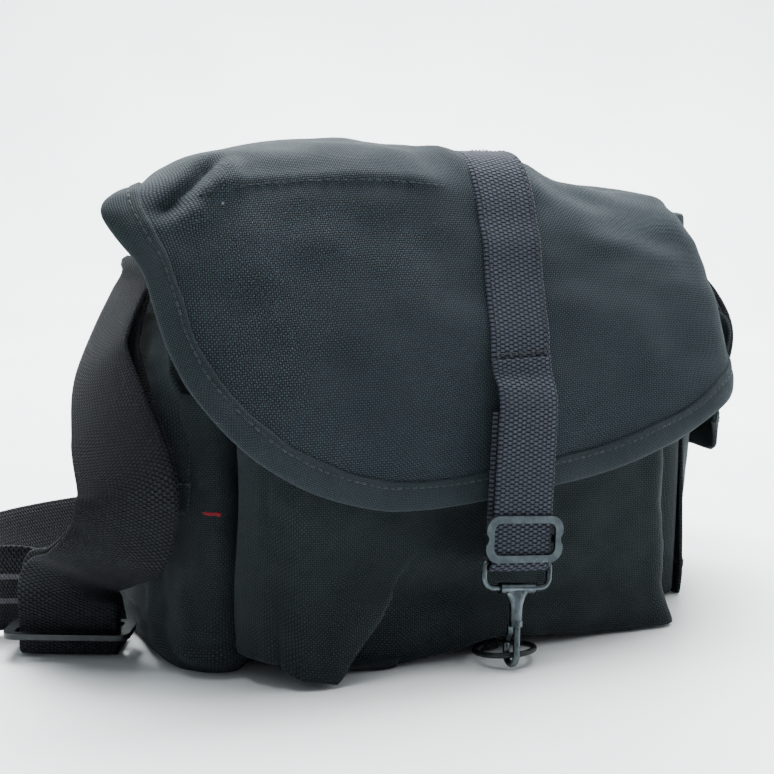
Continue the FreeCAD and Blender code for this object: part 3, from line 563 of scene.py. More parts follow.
def pad(name, node, channels, seed):
    """A foam wall in brushed cloth: crowned between its sewn edges and channels."""
    low, high = (np.array(c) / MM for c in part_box(node))
    size = high - low
    thin = int(np.argmin(size))
    wide = [k for k in range(3) if k != thin]
    na, nb = max(8, int(size[wide[0]] / 3)), int(size[wide[1]] / 3)
    a, b = np.meshgrid(np.linspace(0, 1, na), np.linspace(0, 1, nb), indexing="ij")
    long, tall = size[wide[0]], size[wide[1]]
    edge = np.minimum.reduce([a * long, (1 - a) * long, b * tall, (1 - b) * tall])
    full = np.sqrt(np.clip(1 - (1 - np.clip(edge / 5.0, 0, 1)) ** 2, 0, 1))
    for c in channels:
        full = full * (1 - 0.45 * bell(b * tall, c * tall, 2.2))
    full = full * (0.94 + 0.06 * waves(seed, np.stack([a * 50, b * 50, a * 0], -1), 30, 2))
    middle = (low + high) / 2

    def side(sign):
        p = np.zeros(a.shape + (3,))
        p[..., wide[0]] = low[wide[0]] + a * long
        p[..., wide[1]] = low[wide[1]] + b * tall
        p[..., thin] = middle[thin] + sign * full * size[thin] / 2
        return p.reshape(-1, 3)

    front, back = side(1), side(-1)
    index = np.arange(na * nb).reshape(na, nb)
    quads = np.stack([index[:-1, :-1], index[1:, :-1], index[1:, 1:], index[:-1, 1:]], -1)
    quads = quads.reshape(-1, 4)
    rim = np.concatenate([index[:, 0], index[-1, 1:], index[-2::-1, -1], index[0, -2:0:-1]])
    is_rim = np.zeros(na * nb, bool)
    is_rim[rim] = True
    new = np.where(is_rim, np.arange(na * nb), 0)
    inner = np.flatnonzero(~is_rim)
    new[inner] = na * nb + np.arange(len(inner))
    points = np.vstack([front, back[inner]])
    faces = np.vstack([quads, new[quads][:, ::-1]])
    ob = mesh(name, points, faces, None, [PADDING])
    if thin == 1:
        ob.data.flip_normals()
    finish_piece(ob, "bag", (node,))


for k, part in enumerate(("front_pad", "back_pad", "left_pad", "right_pad", "divider")):
    pad(f"padded_{part}", f"insert_{part}", (0.34, 0.67), 20 + k)


# ---- front pocket
WALL_Y = -46.2                          # just behind the face of the bag's front wall
RIDGE = arr((-48.0, 43.0), (-81.0, 1.0))    # the deep fold, from its head to its foot: (x, z)


def pocket_path():
    """The pocket's plan from the left wall round its face to the right wall: (x, y) of each point."""
    low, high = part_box("front_pocket_face")
    x0, x1, y = low.x / MM, high.x / MM, low.y / MM
    return arr(
        (x0 - 3.0, WALL_Y), (x0 - 9.5, -50.5), (x0 - 12.5, -58.0), (x0 - 11.0, -67.0), (x0 - 6.5, -73.0),
        (x0 - 2.8, -74.2), (x0 + 0.5, y - 0.4), (x0 + 14, y - 1.4), (x0 + 42, y - 0.9), (-10.0, y),
        (34.0, y + 0.2), (x1 - 14, y), (x1 - 3.5, y + 0.6), (x1 - 0.6, y + 4.5), (x1 - 1.2, y + 14),
        (x1 + 1.2, y + 23), (x1 + 0.8, WALL_Y))


def pocket_base(x):
    """Height of the pocket's lower edge above the floor."""
    xs = [-115, -101, -94, -82, -72, -52, -28, -18, -2, 10, 38, 66, 74]
    zs = [11.0, 9.0, 4.0, 1.4, 3.2, 2.0, 4.2, 6.3, 6.3, 4.6, 1.6, 1.3, 2.0]
    return np.interp(x, xs, zs)


def front_pocket():
    plan, at = smooth_path(np.column_stack([pocket_path(), np.zeros(17)]), 1.7)
    plan = plan[:, :2]
    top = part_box("front_pocket_face")[1].z / MM
    n = len(plan)
    base = pocket_base(plan[:, 0])
    out = unit(np.column_stack([np.gradient(plan[:, 1]), -np.gradient(plan[:, 0])]))
    rows = []
    for share in (0.0, 0.3, 0.6, 0.82, 0.94):
        p = np.column_stack([plan[:, 0] * (0.985 + 0.015 * share), WALL_Y + (plan[:, 1] - WALL_Y) * share,
                             base + 1.2])
        p[:, 2] += 2.5 * (1 - share)
        rows.append(p)
    d = RIDGE[1] - RIDGE[0]
    ridge_long = np.hypot(*d)
    e = d / ridge_long
    for t in np.concatenate([[0.0, 0.012, 0.03], np.linspace(0.055, 1, 52)]):
        z = base + (top - base) * t
        x, y = plan[:, 0].copy(), plan[:, 1].copy()
        face = ease(y, -70, -75)
        low = 1 - ease(z, 0, 70)
        # the bag's weight spreads the pocket near the floor; at the mouth it lies closer to the wall
        push = 2.0 * low * face + 1.2 * np.sin(np.pi * t) * (1 - face)
        push -= 1.6 * ease(t, 0.6, 1.0) * face
        # a deep fold: the cloth left of the ridge stands forward and the cloth right of it lies back
        across, up = x - RIDGE[0, 0], z - RIDGE[0, 1]
        s = (across * e[0] + up * e[1]) / ridge_long
        off = across * -e[1] + up * e[0]
        grow = ease(s, -0.12, 0.75) * face
        forward = 6.5 * np.exp(-(np.abs(off) / 17.0) ** 1.3)
        push += np.where(off < 0, forward, -7.5 * np.exp(-(np.abs(off) / 26.0) ** 1.2)) * grow
        # soft folds that run right from the fold's top
        for z0, slope, amount, wide in ((44, -0.10, 1.9, 5.5), (31, -0.14, -2.1, 6.0), (20, -0.06, 1.5, 6.0),
                                        (58, 0.05, -1.1, 7.0)):
            line = z0 + slope * (x + 48)
            push += amount * bell(z, line, wide) * ease(x, -56, -40) * (1 - ease(x, 20, 64)) * face
        push += (waves(11, np.column_stack([x, z * 1.3]), 50, 3) * 1.3) * face
        column = ease(x, -100.5, -104)
        push += column * (1.6 * np.sin(z / 17.0 + 0.6) - 0.6) * (y < -48)
        p = np.column_stack([x, y]) + out * push[:, None]
        # the lower right corner flares
        flare = bell(x, 70, 7) * (1 - ease(z, 2, 20))
        p[:, 0] += flare * 3.5
        p[:, 1] -= flare * 2.0
        # the lower left corner pinches in under the column
        pinch = bell(x, -101, 5) * (1 - ease(z, 6, 22)) * (y < -60)
        p[:, 0] += pinch * 2.0
        p[:, 1] += pinch * 2.5
        rows.append(np.column_stack([p, z]))
    p = np.array(rows)
    p[..., 1] = np.minimum(p[..., 1], WALL_Y)
    # clear of the flap in front of it
    p[..., 1] = np.maximum(p[..., 1], -79.0 - 6.0 * (1 - ease(p[..., 2], 48, 66)))
    # room under the front edge for the ring to lift
    ring_low, ring_high = box("catch_ring")
    near_ring = bell(p[..., 0], (ring_low.x + ring_high.x) / 2, 14) * bell(p[..., 1], ring_high.y - 2, 9)
    p[..., 2] += 2.0 * near_ring * (1 - ease(p[..., 2], 2, 18))
    ob = grid("front_pocket", p, cloth_uv(at, lengths(p[:, n // 2])), CANVAS_PAINTED_SHADE, thick=1.7)
    finish_piece(ob, "bag",
                 [f"front_pocket_{k}" for k in ("face", "left_gusset", "right_gusset", "floor")])
    # tape along the mouth, with two rows of stitches
    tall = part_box("front_pocket_hem")
    height = (tall[1].z - tall[0].z) / MM
    keep = [k for k in range(n) if plan[k, 1] < -48]
    span = np.moveaxis(p[-14:, keep], 1, 0)
    normal = np.column_stack([out[keep], np.zeros(len(keep))])

    def mouth_line(level, z):
        """The pocket's plan at the height level, as points at the height z."""
        return arr(*[(*(np.interp(level, c[:, 2], c[:, k]) for k in range(2)), z) for c in span])

    profile = [(0.15, -height), (0.75, -height + 0.5), (0.8, -height / 2), (0.8, -0.3), (0.3, 0.5),
               (-1.0, 0.8), (-2.2, 0.4), (-2.5, -0.5), (-2.5, -height + 0.5), (-1.9, -height)]
    q = np.stack([mouth_line(top + min(h, 0.0), top + h) + normal * d for d, h in profile], 1)
    uv = cloth_uv(rim_length(profile), at[keep])
    tape = grid("front_pocket_tape", q, uv, BINDING, wrap=True, caps=True)
    finish_piece(tape, "bag", ("front_pocket_hem",))
    for k, level in enumerate((-2.0, -height + 2.0)):
        line = mouth_line(top + level, top + level) + normal * 0.85, normal
        finish_piece(stitches(f"front_pocket_stitches_{k}", [line], *STITCH, THREAD), "bag")


front_pocket()


# ---- end pockets
END_ROWS = [0.0, 7.0, 20.0, 45.0, 72.0, 106.0]      # heights over the pocket's foot
FLOOR_SHARES = (0.15, 0.45, 0.75, 0.93)             # rings of the floor, from its middle
SEAM_Z = 12.5                                       # the seam between the wall and the base
END_LEFT = arr(
    (-103, -45, -110, -50, -119, -46, -125, -33, -126, 0, -125, 30, -119, 39, -110, 41, -103, 40),
    (-103, -49, -111, -56, -122, -53, -129, -37, -129, 0, -128, 32, -122, 41, -111, 43, -103, 40),
    (-103, -48, -111, -54, -120, -51, -126, -36, -127, 0, -126, 32, -120, 41, -111, 43, -103, 40),
    (-103, -44, -109, -49, -115, -48, -120, -36, -124, 0, -124, 31, -119, 40, -110, 42, -103, 40),
    (-103, -43, -109, -48, -115, -47, -121, -37, -125, 0, -125, 31, -119, 40, -110, 42, -103, 40),
    (-103, -41, -111, -47, -119, -45, -125, -34, -126, 0, -125, 31, -119, 39, -110, 41, -103, 40),
).reshape(-1, 9, 2)
END_RIGHT = arr(
    (103, -43, 105, -40, 109, -33, 115, -24, 121, -8, 123, 16, 118, 36, 110, 41, 103, 40),
    (103, -44, 106, -41, 111, -34, 117, -24, 123, -8, 125, 16, 120, 37, 111, 42, 103, 40),
    (103, -44, 105, -40, 109, -33, 115, -24, 122, -8, 124, 16, 118, 37, 110, 42, 103, 40),
    (103, -43, 105, -40, 110, -33, 117, -24, 123, -8, 125, 16, 118, 37, 110, 41, 103, 40),
    (103, -42, 107, -41, 113, -36, 120, -26, 125, -8, 125, 16, 119, 37, 110, 41, 103, 40),
    (103, -41, 109, -42, 117, -38, 123, -27, 126, -6, 125, 18, 119, 38, 110, 41, 103, 40),
).reshape(-1, 9, 2)


def end_pocket(side, table, seed):
    """One end pocket: its wall through the plan at each height of END_ROWS, and its floor."""
    low, high = box(f"end_pocket_{side}_wall")
    sign = -1 if side == "left" else 1
    stations = np.linspace(0, 1, table.shape[1])
    cols = np.linspace(0, 1, 84)
    zs = np.concatenate([np.linspace(0, 12, 9), np.linspace(14.5, high.z - low.z, 38)])
    net = through(END_ROWS, table, np.clip(zs, 0, END_ROWS[-1]))
    p2 = np.moveaxis(through(stations, np.moveaxis(net, 1, 0), cols), 0, 1)
    z = np.broadcast_to((zs + low.z)[:, None], p2.shape[:2])
    p = np.concatenate([p2, z[..., None]], -1)
    middle = arr(sign * 108, 0)
    out = unit(p[..., :2] - middle)
    shape = waves(seed, p * arr(1, 1, 0.8), 42, 3) * 1.5
    # folds that fan up from the foot of the front corner
    for y0, slope, amount in ((-50, 0.55, 2.2), (-40, 0.8, -2.0), (-28, 1.0, 1.7)):
        fold = amount * bell(p[..., 1], y0 + slope * (z - 8), 4.5)
        shape = shape + fold * (1 - ease(z, 18, 52)) * ease(z, 3, 10)
    # the foot's seam: a small step where the wall meets the base
    shape = shape - 1.4 * bell(p[..., 2], SEAM_Z, 1.6)
    inside = ease(np.abs(p[..., 0]), 103, 106)
    p[..., :2] += out * (shape * inside)[..., None]
    floor = []
    for share in FLOOR_SHARES:
        ring = p[0].copy()
        ring[:, :2] = middle + (ring[:, :2] - middle) * share
        ring[:, 0] = sign * np.maximum(np.abs(ring[:, 0]), 103.5)
        ring[:, 2] = low.z + 0.2 + 0.5 * (1 - share)
        floor.append(ring)
    p = np.concatenate([np.array(floor), p])
    p[..., 2] = np.maximum(p[..., 2], 1.3)
    ob = grid(f"end_pocket_{side}", p, cloth_uv(lengths(p[20]), lengths(p[:, 40])), CANVAS_PAINTED_SHADE, thick=1.6,
              offset=sign)
    finish_piece(ob, "bag", (f"end_pocket_{side}_wall", f"end_pocket_{side}_floor"))
    # piping along the foot's seam
    row = int(np.argmin(np.abs(zs - SEAM_Z)))
    line = p[len(FLOOR_SHARES) + row, 2:-2] + np.column_stack([out[row], np.zeros(len(cols))])[2:-2] * 0.2
    tube(f"end_pocket_{side}_seam", line, 0.9)
    return p


def tube(name, line, radius, sides=8):
    """Piping: a thin round roll of canvas along a level line of points."""
    line, at = resample(line, 1.6)
    along = unit(np.gradient(line, axis=0))
    a = unit(np.cross(along, arr(0, 0, 1)))
    b = np.cross(along, a)
    t = np.linspace(0, 2 * pi, sides, endpoint=False)
    p = line[:, None] + radius * (a[:, None] * np.cos(t)[:, None] + b[:, None] * np.sin(t)[:, None])
    uv = cloth_uv(np.linspace(0, 2 * pi * radius, sides + 1), at)
    finish_piece(grid(name, p, uv, CANVAS_PAINTED_SHADE, wrap=True, caps=True), "bag")


end_left = end_pocket("left", END_LEFT, 31)
end_pocket("right", END_RIGHT, 37)


# ---- end pocket flaps
def end_flap(side, seed):
    """A short hood from the wall over the pocket's mouth, then its cover with a turned and stitched hem."""
    sign = -1 if side == "left" else 1
    low, high = box(f"end_flap_{side}")
    hem_low, hem_high = box(f"end_flap_{side}_hem")
    # (distance out from the middle, height) from the wall to the lower edge
    path = arr((105.2, 136), (109, 136.5), (117, 135.5), (124.5, 131.5), (129.0, 124.5), (131.0, 114),
               (131.5, 100), (131.5, 84), (132.0, low.z + 1))
    if side == "right":
        path = arr((105.2, 130), (109, 130.5), (117, 129.5), (124.5, 126), (129.5, 119), (133.0, 108),
                   (134.5, 96), (133.5, 82), (131.0, low.z + 1))
    fine, at = smooth_path(np.column_stack([path, np.zeros(len(path))]), 1.8)
    ys = np.linspace(low.y, high.y, 52)
    x, z, y = (a.copy() for a in np.broadcast_arrays(fine[:, :1], fine[:, 1:2], ys[None]))
    down = ease(z, 132, 96)
    # the sides curl in round the pocket, and the front corner droops
    edge = np.abs(y) / abs(low.y)
    x -= 9.0 * ease(edge, 0.62, 1.05) ** 1.5 * down
    z -= 5.0 * ease(edge, 0.6, 1.0) * (1 - down)
    y *= 1 + 0.045 * down
    if side == "right":
        # its lower corners are cut round
        z += 15.0 * ease(edge, 0.62, 1.0) ** 2 * ease(-z, -112, -low.z)
    p = np.stack([sign * x, y, z], -1)
    out = unit(np.stack([sign * np.ones_like(x), 0 * x, 0.3 * (1 - down)], -1))
    swell = waves(seed, p, 55, 3) * 2.0 + 1.5 * bell(y, 6, 20) * down
    swell = swell - 1.3 * bell(z, 118, 4.0) * (side == "left")
    p += out * (swell * ease(np.abs(p[..., 0]), 105, 112))[..., None]
    if sign < 0:
        p, ys = p[:, ::-1], ys[::-1]
    uv = cloth_uv(ys, at)
    ob = grid(f"end_flap_cloth_{side}", p, uv, CANVAS_PAINTED_SHADE, thick=1.5, offset=0.0)
    bend_piece(ob, "canvas", (f"end_flap_{side}",), "bag", f"end_flap_{side}", (sign * 0.1045, 0, 0.140),
               (sign * 0.112, 0, 0.128))
    # hem: a second layer over the last stretch, with its stitches
    tall = hem_high.z - hem_low.z
    rows = [k for k in range(len(at)) if at[-1] - at[k] < tall + 2]
    outward = unit(np.cross(np.gradient(p, axis=0), np.gradient(p, axis=1)))
    layer = p[rows] + outward[rows] * 1.15
    inner = p[rows] + outward[rows] * 0.75
    roll = p[-1:] + arr(0, 0, -0.9)
    q = np.concatenate([inner[:1], layer, roll, (p[rows] - outward[rows] * 0.95)[::-1]])
    hem = grid(f"end_flap_hem_tape_{side}", q, cloth_uv(ys, lengths(q[:, 20])), CANVAS_PAINTED_SHADE)
    finish_piece(hem, f"end_flap_{side}", (f"end_flap_{side}_hem",))
    row = rows[1]
    line = p[row] + outward[row] * 1.3, outward[row]
    st = stitches(f"end_flap_stitches_{side}", [line], *STITCH, THREAD)
    finish_piece(st, f"end_flap_{side}")


end_flap("left", 41)
end_flap("right", 43)


def side_tag():
    """The blank red tag: a small loop of cloth sewn to the pocket's front corner, just below its flap."""
    rows = np.flatnonzero((end_left[:, 10, 2] > 57.5) & (end_left[:, 10, 2] < 64))
    cols = np.flatnonzero((end_left[rows[0], :, 0] < -112.0) & (end_left[rows[0], :, 1] < -36))
    patch = end_left[np.ix_(rows, cols)]
    out = unit(patch[..., :2] - arr(-106, 0))
    tall = (patch[..., 2] - patch[:1, :, 2]) / 9.0
    patch[..., :2] += out * (1.1 + 1.1 * np.sin(np.pi * np.clip(tall, 0, 1)))[..., None]
    ob = grid("side_tag", patch, patch[..., 1:], RED, thick=0.8, offset=0.0, subdiv=1)
    finish_piece(ob, "bag", ("side_label",))


side_tag()


# ---- main flap
FLAP_U, FLAP_V0, FLAP_V1, FLAP_BACK = 144.0, 112.0, 229.5, -12.0
FLAP_V = [-12, 0, 14, 40, 70, 92, 108, 125, 150, 180, 222]
FLAP_Y = [47.9, 45.4, 35, 10, -20, -42, -55, -63.5, -72, -79.5, -84.2]
FLAP_Z = [168, 179.8, 185.0, 189.8, 192.5, 189.5, 180.5, 165.5, 142, 113, 71]
# where the flap turns back round the right end of the bag: how far down the cloth, how far across it
RIDGE_V, RIDGE_U = [60, 100, 125, 150, 185], [92, 92, 98, 101, 109]
TOP_U = [-146, -104, -78, -50, -22, 5, 30, 56, 80, 104, 146]
TOP_RISE = [0, 0.5, 3.0, 4.0, 2.5, -0.5, -6.5, -13.0, -15.5, -15.0, -14.0]


def seam_line(u):
    """How far down the cloth the puckered seam lies."""
    return 105 + 0.05 * (u + 104) + 5.0 * ease(-u, 96, 130)


def flap_end(a):
    """How far down the cloth the flap is cut, at a from -1 at its left side to 1 at its right."""
    power = 2.5 - 0.22 * a
    return FLAP_V0 + (FLAP_V1 - FLAP_V0) * np.maximum(1 - np.abs(a) ** power, 0) ** (1 / power)


# a stretch of the top at the hinge: bag behind the first point, flap past the next; passed to bend_piece,
# which does not use it
FLAP_BEND = (0, 0.0490, 0.172), (0, 0.0385, 0.1745)


def on_flap(ob, slot, replaces=()):
    return bend_piece(ob, slot, replaces, "bag", "flap", *FLAP_BEND)


def flap_surface(u, v):
    """The flap's middle surface at cloth coordinates: u across from its middle, v down from the back seam."""
    u, v = np.broadcast_arrays(np.asarray(u, float), np.asarray(v, float))
    shape = u.shape
    u, v = u.ravel(), v.ravel()
    yz = through(FLAP_V, np.column_stack([FLAP_Y, FLAP_Z]), v)
    y, z = yz[:, 0], yz[:, 1]
    rise = through(TOP_U, arr(*[(r,) for r in TOP_RISE]), u)[:, 0]
    z = z + rise * ease(v, 2, 34) * (1 - ease(v, 96, 158))
    front = ease(v, 66, 118)
    # right side: droops over the end on top and turns back round the corner in front; left side: a wing
    ridge = np.interp(v, RIDGE_V, RIDGE_U)
    steps = 24
    x, dy, dz = np.zeros_like(u), np.zeros_like(u), np.zeros_like(u)
    for k in range(steps):
        w = u * (k + 0.5) / steps
        du = u / steps
        th = (np.radians(14) * ease(w, 40, 110) + np.radians(66) * ease(w, ridge - 14, ridge + 12)
              + np.radians(26) * ease(-w, 84, 150)) * front
        ph = (np.radians(66) * ease(w, 83, 103) * (1 - front) + np.radians(20) * ease(w, 86, 108) * front
              + np.radians(50) * ease(-w, 100, 140) * (1 - front)
              + np.radians(18) * ease(-w, 96, 140) * front * (1 - ease(v, 112, 150)))
        x += du * np.cos(th) * np.cos(ph)
        dy += np.abs(du) * np.sin(th)
        dz += np.abs(du) * np.sin(ph)
    y, z = y + dy, z - dz
    # at the back the cloth draws in to the seam on the wall
    near = 1 - ease(v, -2, 80)
    x = x * (1 - 0.20 * near * ease(np.abs(u), 60, 146))
    y = y - 3.0 * near * ease(np.abs(u), 100, 140) * (v > 0)
    # the front hangs tilted: lower at the left, higher at the right
    tilt = ease(v, 130, 222)
    z = z + tilt * (np.interp(u, [-146, -60, 0, 60, 146], [-4.5, -4.0, 3.0, 7.0, 2.5]))
    # the wing: its edge flips out
    wing = bell(v, 106, 20) * ease(-u, 118, 144)
    x, z, y = x - 12.0 * wing, z - 1.0 * wing, y - 3.0 * wing
    p = np.column_stack([x, y, z])
    flat = np.column_stack([u, v])
    n_up = unit(np.column_stack([np.zeros_like(u), -front, 1 - front + 0.3]))
    lift = waves(51, flat, 85, 3) * 1.9 * ease(v, 10, 40)
    # folds that fan out beside the strap on top
    for u0, lean, amount, wide in ((-16, 0.20, 1.4, 5), (30, -0.35, 1.8, 6), (48, -0.5, -1.5, 7),
                                   (-34, 0.32, -1.0, 7)):
        lift += amount * bell(u, u0 + lean * (v - 70), wide) * bell(v, 84, 34)
    # hollow across the upper front, left of the strap
    lift -= 2.2 * bell(v, 128 + 0.06 * u, 13) * bell(u, -66, 48)
    # puckered seam where the top turns down
    seam = seam_line(u)
    on = ease(-u, 18, 40) * (1 - ease(-u, 122, 134))
    lift += on * (0.8 * bell(v, seam, 2.6) - 0.5 * bell(v, seam + 4.5, 3.0))
    lift += on * bell(v, seam + 2, 5.0) * 0.22 * np.sin(u * 0.95 + 1.3 * np.sin(u * 0.21))
    # the tuck: the front cloth overlaps the cloth behind it along a slanting line
    a, b = arr(-106.0, 90.0), arr(-127.0, 114.0)
    d = unit((b - a)[None])[0]
    s = (flat - a) @ d / np.hypot(*(b - a))
    off = (flat - a) @ arr(d[1], -d[0])
    on = ease(s, -0.1, 0.3) * (1 - ease(s, 0.9, 1.25))
    lift += on * (3.2 * bell(off, 5.0, 5.2) - 5.4 * bell(off, -2.0, 3.4))
    p = p + n_up * lift[:, None]
    return p.reshape(*shape, 3)


def flap_outline(step=2.2):
    """The U-shaped cut edge in cloth coordinates, from the back seam's left end round to its right end."""
    s = np.linspace(-1, 1, 1200)
    a = np.sin(s * pi / 2)
    low = np.column_stack([FLAP_U * a, flap_end(a)])
    left = np.column_stack([np.full(120, -FLAP_U), np.linspace(3, FLAP_V0, 120)])
    right = np.column_stack([np.full(120, FLAP_U), np.linspace(FLAP_V0, 3, 120)])
    return resample(np.vstack([left[:-1], low, right[1:]]), step)


def flap():
    cols, rows = 190, 128
    s = np.linspace(-1, 1, cols)
    a = np.sin(s * pi / 2)
    end = flap_end(a)
    t = np.linspace(0, 1, rows)
    u = np.broadcast_to((FLAP_U * a)[None], (rows, cols))
    v = FLAP_BACK + t[:, None] * (end[None] - FLAP_BACK)
    p = flap_surface(u, v)
    cloth = grid("flap_cloth", p, np.stack([u, v], -1), CANVAS, thick=1.6, offset=0.0)
    on_flap(cloth, "canvas", ("flap_panel",))

    # binding: tape folded round the edge
    line, at = flap_outline()
    along = unit(np.gradient(line, axis=0))
    inward = np.column_stack([along[:, 1], -along[:, 0]])

    def edge_at(shift):
        """Points of the cloth shift in from its cut edge, and their outward normals."""
        base, n = normals_of(flap_surface, *(line + inward * np.reshape(shift, (-1, 1))).T)
        return base, -n

    wide = 10.0
    wobble = 0.35 * waves(61, np.column_stack([at, at * 0]), 30, 2)
    ripple = 0.12 * np.sin(at * 2.1 + 0.8 * np.sin(at * 0.37))
    profile = [(wide + 0.1, 0.75), (wide, 1.6), (wide - 1.2, 2.15), (wide - 2.6, 1.55), (6.0, 2.2),
               (3.5, 2.35), (1.2, 2.1), (-0.4, 1.5), (-1.1, 0.0), (-0.4, -1.5), (1.2, -1.9), (3.5, -2.0),
               (6.0, -1.9), (wide - 2.6, -1.4), (wide - 1.2, -1.8), (wide, -1.4), (wide + 0.1, -0.75)]
    q = []
    for d, h in profile:
        base, n = edge_at(d + wobble * (d > 5))
        q.append(base + n * (h + np.sign(h) * ripple * (2 < d < 9))[:, None])
    tape = grid("flap_edge_binding", np.stack(q, 1), cloth_uv(rim_length(profile), at), BINDING, wrap=True,
                caps=True, subdiv=1)
    on_flap(tape, "tape", ("flap_binding",))
    base, n = edge_at(wide - 2.4)
    lines = [(base + n * h, n) for h in (1.75, -1.75)]
    thread = on_flap(stitches("flap_edge_stitches", lines, 3.1, 2.35, 0.36, THREAD), "tape")

    # stitches of the puckered seam
    uu = np.linspace(-120, -24, 120)
    base, n = normals_of(flap_surface, uu, seam_line(uu) + 2.0)
    n = np.where(n[:, 2:] < 0, -n, n)
    seam = stitches("flap_seam_stitches", [(base + n * 0.85, n)], 3.4, 2.2, 0.24, THREAD)
    finish_piece(seam, "flap")

    flat_area = float(np.sum((end - FLAP_BACK) * np.gradient(FLAP_U * a))) * MM * MM
    return cloth, [tape, thread, seam], flat_area


flap_cloth, flap_pieces, flap_area = flap()


# ---- closure strap
def joint(name, key="pos_m"):
    return np.array([j for j in frame["joints"] if j["name"] == name][0][key])


hang_at = joint("closure_swing") / MM
hang_x = -joint("closure_swing", "axis")
hang_z = joint("closure_adjust", "axis")
hang_y = np.cross(hang_z, hang_x)
loop_at = joint("loop_swing") / MM
CLOSURE_W, CLOSURE_T = 25.4, 1.6
STRAP_SLANT = 0.079                     # sideways for each millimetre along the sewn stretch
SEWN_END = 184.0                        # how far down the flap's cloth the strap is sewn


def in_hang(x, y, z):
    return hang_at + hang_x * x + hang_y * y + hang_z * z


def closure():
    """One length of webbing: sewn down the flap, then free, through the slide and round the wire loop."""
    v = np.linspace(9, SEWN_END, 110)
    u = hang_at[0] + STRAP_SLANT * (SEWN_END - v)
    base, n = normals_of(flap_surface, u, v, step=3.0)
    n = -n                              # outward
    ends = [flap_surface(u + s * 12.0, v) for s in (-1, 0, 1)]
    lift = 1.9 + np.max([np.sum((e - base) * n, axis=1) for e in ends], axis=0) * 0.6
    path = base + n * lift[:, None]
    sewn = ribbon("closure_strap_upper", path, (1, 0, 0), CLOSURE_W, CLOSURE_T, WEBBING,
                  smooth=False, twist_seed=71)
    on_flap(sewn, "webbing", ("closure_strap_sewn",))

    r = 1.6 + CLOSURE_T / 2                 # from the middle of the wire to the middle of the webbing
    drop = float(np.linalg.norm(loop_at - hang_at))
    top = path[-1]
    rows = [(top + arr(0, -0.1, 5.0), arr(1, 0, 0)), (top + arr(0, -0.5, 0.5), arr(1, 0, 0)),
            (in_hang(-0.2, -r + 1.6, -4), hang_x), (in_hang(0, -r + 0.1, -11), hang_x)]
    rows += [(in_hang(0, -r, z), hang_x) for z in np.linspace(-18, -drop + 20, 5)]
    rows += [(in_hang(0, -r - 0.1, z), hang_x) for z in (-drop + 15, -drop + 10, -drop + 4)]
    for a in np.radians((15, 45, 75, 105, 135, 165)):
        rows.append((in_hang(0, -r * cos(a), -drop - r * sin(a)), hang_x))
    rows += [(in_hang(0, r, z), hang_x) for z in (-drop + 4, -drop + 14, -drop + 34, -drop + 52, -13)]
    free = ribbon("closure_strap_lower", *zip(*rows), CLOSURE_W, CLOSURE_T, WEBBING, step=1.6)
    bend_piece(free, "webbing", ("closure_strap_free",), "flap", "closure",
               tuple((hang_at + arr(0, 4.5, 5)) * MM), tuple(in_hang(0, 0, -12) * MM))

    # box stitch across the webbing where it leaves the flap
    last, up = path[-2], n[-2]
    down = unit((path[-1] - path[-8])[None])[0]
    pts = arr(*[last - down * (1.0 + 4.2 * k) + arr(x, 0, 0) + up * 1.05
                for k in range(2) for x in np.arange(-11.0, 11.1, 2.6)])
    crossing = capsules("closure_stitches", pts, (1, 0, 0), up, 2.0, 0.36, THREAD_DARK)
    finish_piece(crossing, "flap")
    sides = [(path[3:-3] + arr(x, 0, 0) + n[3:-3] * 0.95, n[3:-3]) for x in (-11.0, 11.0)]
    long = on_flap(stitches("closure_edge_stitches", sides, 3.6, 2.4, 0.3, THREAD_DARK), "webbing")
    return [sewn, crossing, long]


flap_pieces += closure()


# ---- webbing tabs
def arc(x, z, r, degrees):
    """Points round (x, z), from straight above it where r is above 0."""
    return [(x + r * sin(radians(a)), z + r * cos(radians(a))) for a in degrees]


def strap_tab(side):
    """Webbing sewn flat to the end wall, then round the ring's upper bar and back."""
    sign = -1 if side == "left" else 1
    low, high = box(f"strap_tab_{side}")
    bar = joint(f"strap_ring_{side}_swing") / MM
    x0, bar_x, bar_z = 105.0, abs(bar[0]), bar[2]
    r = 2.7
    rows = [(x0 + 0.2, high.z - 1), (x0 + 0.2, high.z - 5), (x0 + 0.8, bar_z + 6.0),
            (bar_x - 2.4, bar_z + r - 0.2)]
    rows += arc(bar_x, bar_z, r, range(0, 181, 30))
    rows += [(bar_x - 2.4, bar_z - r + 0.1), (x0 + 1.0, bar_z - 5.5), (x0 + 0.6, bar_z - 9.5),
             (x0 + 0.5, low.z + 1)]
    path = arr(*[(sign * x, 0, z) for x, z in rows])
    ob = ribbon(f"ring_holder_{side}", path, (0, 1, 0), high.y - low.y, 1.5, SHOULDER, step=1.2)
    finish_piece(ob, "bag", (f"strap_tab_{side}",))
    ys = np.arange(low.y + 3, high.y - 2, 2.8)
    lines = (1.4, low.z + 3), (1.4, low.z + 6), (1.05, high.z - 3)
    pts = arr(*[(sign * (x0 + out), y, z) for out, z in lines for y in ys])
    st = capsules(f"ring_holder_stitches_{side}", pts, (0, 1, 0), (sign, 0, 0), 2.1, 0.32, THREAD_DARK)
    finish_piece(st, "bag")


strap_tab("left")
strap_tab("right")


